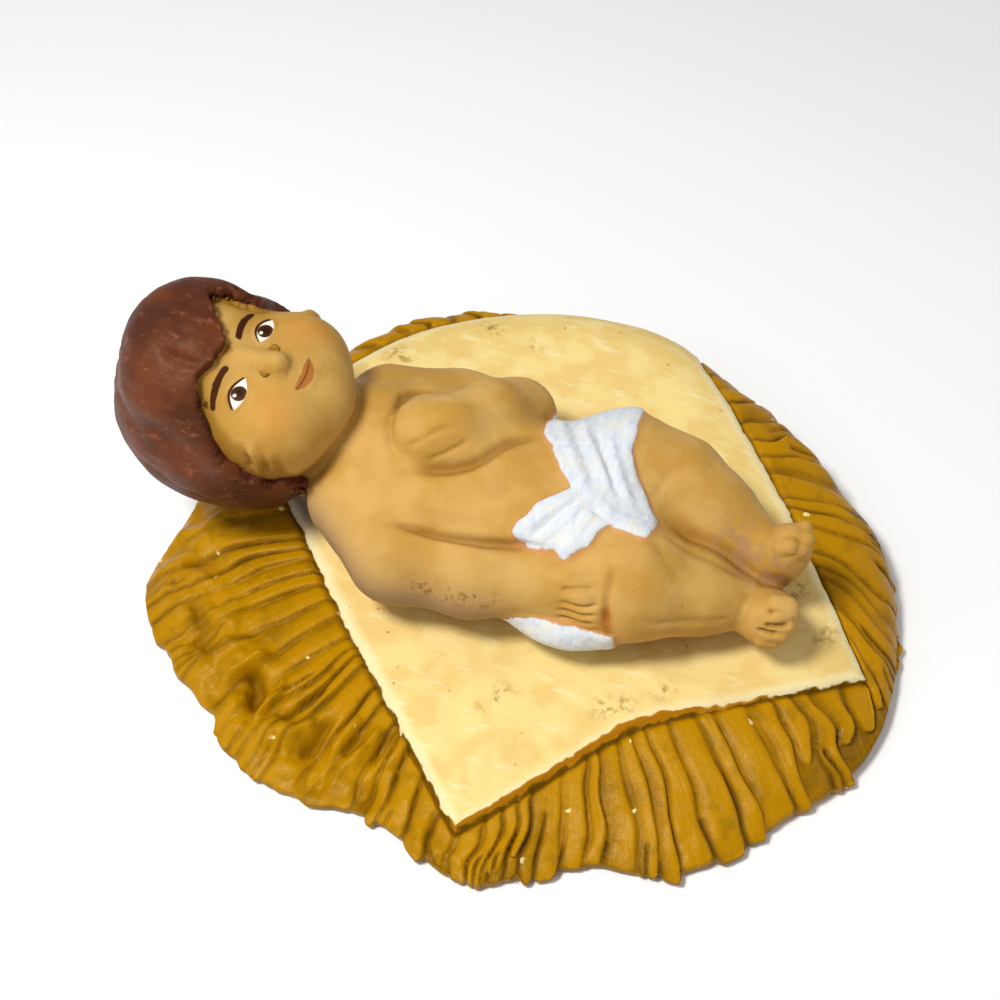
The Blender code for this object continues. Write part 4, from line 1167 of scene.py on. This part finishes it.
childPaint = {
    "shine": 0.2, "shineTint": (1.0, 0.80, 0.48, 1.0), "bump": 0.15,
    "noise": {"wide": 9, "fine": 1.1, "tiny": 0.3, "patch": 2.0, "dull": 6, "worn": 0.9, "dots": 2.6,
              "brush": 0.9, "creamy": 3, "dry": 1.6, "scratch": 0.8},    # mm
    "coats": {                                            # colour and strength of each
        "skin": (colour(199, 157, 86), 1), "skinWarm": (colour(184, 139, 62), 1),
        "skinDull": (colour(178, 142, 90), 0.25), "hollowShade": (colour(142, 96, 26), 0.85),
        "creaseShade": (colour(120, 74, 18), 0.5), "greyAndShade": (colour(140, 112, 84), 0.85),
        "mauve": (colour(160, 120, 96), 0.6), "ochre": (colour(152, 84, 2), 0.8),
        "worn": (colour(120, 72, 22), 0.95), "dot": (colour(120, 72, 22), 0.7),
        "olive": (colour(142, 108, 36), 0.2), "blush": (colour(198, 124, 44), 0.45),
        "lips": (colour(158, 90, 36), 0.85), "brow": (colour(60, 22, 6), 1), "lash": (colour(60, 22, 6), 1),
        "eyeWhite": (colour(232, 226, 212), 1), "iris": (colour(62, 24, 4), 1),
        "pupil": (colour(26, 8, 4), 1), "glint": (colour(232, 226, 212), 1),
        "mouthLine": (colour(62, 24, 4), 1),
        "white": (colour(212, 216, 218), 1), "lavender": (colour(184, 192, 216), 0.5),
        "creamy": (colour(224, 214, 186), 0.4), "halo": (colour(206, 138, 96), 0.45),
        "hair": (colour(100, 49, 27), 1), "hairDark": (colour(74, 36, 22), 1),
        "hairDry": (colour(156, 92, 62), 0.6),
    },
}


def skinPaint(tree, place, wide):
    coat, size = childPaint["coats"], childPaint["noise"]
    patchy = lumpy(tree, place, size["patch"], 4, 0.6)
    dull = band(tree, lumpy(tree, place, size["dull"], 4, 0.6), 0.54, 0.70)
    skin = coated(tree, coat["skin"][0], coat["skinWarm"], band(tree, wide, 0.36, 0.64))
    skin = coated(tree, skin, coat["skinDull"], dull)
    # painted shade: the skin is painted darker in its hollows
    skin = coated(tree, skin, coat["hollowShade"], band(tree, attribute(tree, "hollow"), 0.12, 0.75))
    # painted shade: the skin is painted darker in its creases
    skin = coated(tree, skin, coat["creaseShade"], band(tree, attribute(tree, "creaseShade"), 0.1, 0.9))
    # grey paint along the near arm's lower side, darkened there as painted shade
    skin = coated(tree, skin, coat["greyAndShade"], attribute(tree, "greyAndShade"))
    mauve = times(tree, attribute(tree, "mauve"), band(tree, patchy, 0.42, 0.58))
    skin = coated(tree, skin, coat["mauve"], mauve)
    skin = coated(tree, skin, coat["ochre"], attribute(tree, "ochre"))
    worn = band(tree, lumpy(tree, place, size["worn"], 3, 0.6), 0.52, 0.60)
    skin = coated(tree, skin, coat["worn"], times(tree, attribute(tree, "speckle"), worn))
    dots = times(tree, specks(tree, place, size["dots"], 0.08), band(tree, wide, 0.52, 0.58))
    return coated(tree, skin, coat["dot"], dots)


def faceCoats(tree, skin, hair, wide, wobble):
    coat = childPaint["coats"]
    olive = times(tree, band(tree, hair, 30, 10), timesPlus(tree, wide, 0.6, 0.7))
    face = coated(tree, skin, coat["olive"], olive)
    face = coated(tree, face, coat["blush"], attribute(tree, "blush"))
    lips = timesPlus(tree, wobble, 0.2, attribute(tree, "lips"))
    face = coated(tree, face, coat["lips"], band(tree, lips, 0.12, -0.12))
    brow = timesPlus(tree, wobble, 0.3, attribute(tree, "brow"))
    face = coated(tree, face, coat["brow"], band(tree, brow, 0.12, -0.1))
    for name in ("eyeWhite", "iris", "pupil", "glint", "lash", "mouthLine"):
        face = coated(tree, face, coat[name], band(tree, attribute(tree, name), 0.08, -0.08))
    return face


def makeChildPaint():
    material, tree, shader, place = startPaint("childHandPaint", childPaint)
    coat, size = childPaint["coats"], childPaint["noise"]
    hair = attribute(tree, "hairEdge")
    wide, fine = lumpy(tree, place, size["wide"], 3), lumpy(tree, place, size["fine"], 3)
    tiny = lumpy(tree, place, size["tiny"], 2)
    wobble = maths(tree, "SUBTRACT", fine, 0.5)           # makes the brush edges uneven
    face = faceCoats(tree, skinPaint(tree, place, wide), hair, wide, wobble)

    strokes = lumpy(tree, stretched(tree, place, (1, 0.3, 0.6)), size["brush"], 3)
    white = coated(tree, coat["white"][0], coat["lavender"], band(tree, strokes, 0.45, 0.7))
    white = coated(tree, white, coat["creamy"], band(tree, lumpy(tree, place, size["creamy"], 3), 0.5, 0.7))
    wrapHere = timesPlus(tree, wobble, 0.7, attribute(tree, "loinclothEdge"))
    onWrap = band(tree, wrapHere, 0.12, -0.12)
    body = coated(tree, face, coat["halo"], band(tree, wrapHere, 0.9, 0.1))
    body = mixed(tree, onWrap, body, white)

    locks = coated(tree, coat["hair"][0], coat["hairDark"], band(tree, wide, 0.35, 0.65))
    dryBrush = stretched(tree, place, (0.5, 1, 1), (0, 0, 30))
    dry = band(tree, lumpy(tree, dryBrush, size["dry"], 5, 0.7), 0.52, 0.72)
    locks = coated(tree, locks, coat["hairDry"], dry)
    onHair = band(tree, timesPlus(tree, wobble, 0.3, hair), 0.66, 0.46)
    tree.links.new(mixed(tree, onHair, body, locks), shader.inputs["Base Color"])

    rough = timesPlus(tree, tiny, 0.15, 0.52)
    rough = maths(tree, "SUBTRACT", rough, times(tree, onHair, 0.12))
    tree.links.new(rough, shader.inputs["Roughness"])
    relief = plus(tree, times(tree, tiny, 0.3), times(tree, strokes, onWrap))
    relief = plus(tree, relief, times(tree, dry, onHair))
    scratches = lumpy(tree, stretched(tree, place, (0.35, 1, 1), (0, 0, -20)), size["scratch"], 3)
    relief = plus(tree, relief, timesPlus(tree, scratches, 0.35, times(tree, fine, 0.6)))
    addBump(tree, shader, relief, childPaint["bump"])
    return material


# Floor, light and camera

studio = {
    "floor": (0.93, 0.93, 0.92, 1.0), "worldLight": 0.36,
    "floorSize": 4000, "floorRoughness": 0.9,
    "lens": 62, "sensor": 36, "nearest": 10, "farthest": 10000,
    "azimuth": 20, "elevation": 50, "distance": 285, "target": (-9.14, 10.68, 8),
    # name: place in mm, size in mm, watts
    "lights": (
        ("keyLight", (-120, -160, 400), 100, 1.65), ("fillLight", (-260, -300, 320), 320, 0.25),
        ("rimLight", (380, 160, 260), 200, 0.25),
    ),
}


def makeStudio():
    scene = bpy.context.scene
    bpy.ops.mesh.primitive_plane_add(size=studio["floorSize"] * millimetre, location=(0, 0, 0))
    floor = bpy.context.active_object
    floor.name = "paleFloor"
    material = bpy.data.materials.new("paleFloorPaint")
    material.use_nodes = True
    shader = material.node_tree.nodes["Principled BSDF"]
    shader.inputs["Base Color"].default_value = studio["floor"]
    shader.inputs["Roughness"].default_value = studio["floorRoughness"]
    floor.data.materials.append(material)

    world = bpy.data.worlds.new("softWorld")
    scene.world = world
    world.use_nodes = True
    background = world.node_tree.nodes["Background"]
    background.inputs["Color"].default_value = (1, 1, 1, 1)
    background.inputs["Strength"].default_value = studio["worldLight"]

    target = Vector(studio["target"]) * millimetre
    for name, place, size, power in studio["lights"]:
        data = bpy.data.lights.new(name, "AREA")
        data.shape, data.size, data.energy = "DISK", size * millimetre, power
        lamp = bpy.data.objects.new(name, data)
        lamp.location = Vector(place) * millimetre
        lamp.rotation_euler = (target - lamp.location).to_track_quat("-Z", "Y").to_euler()
        scene.collection.objects.link(lamp)

    data = bpy.data.cameras.new("photoCamera")
    data.lens, data.sensor_width = studio["lens"], studio["sensor"]
    data.clip_start, data.clip_end = studio["nearest"] * millimetre, studio["farthest"] * millimetre
    camera = bpy.data.objects.new("photoCamera", data)
    azimuth, elevation = math.radians(studio["azimuth"]), math.radians(studio["elevation"])
    back = Vector((math.sin(azimuth) * math.cos(elevation), -math.cos(azimuth) * math.cos(elevation),
                   math.sin(elevation)))
    camera.location = target + back * studio["distance"] * millimetre
    camera.rotation_euler = (-back).to_track_quat("-Z", "Y").to_euler()
    scene.collection.objects.link(camera)
    scene.camera = camera
    scene.view_settings.view_transform = "Standard"


makeBed(makeBedPaint())
report("bed made")
makeChild(makeChildPaint())
report("child made")
makeStudio()
report("studio set")
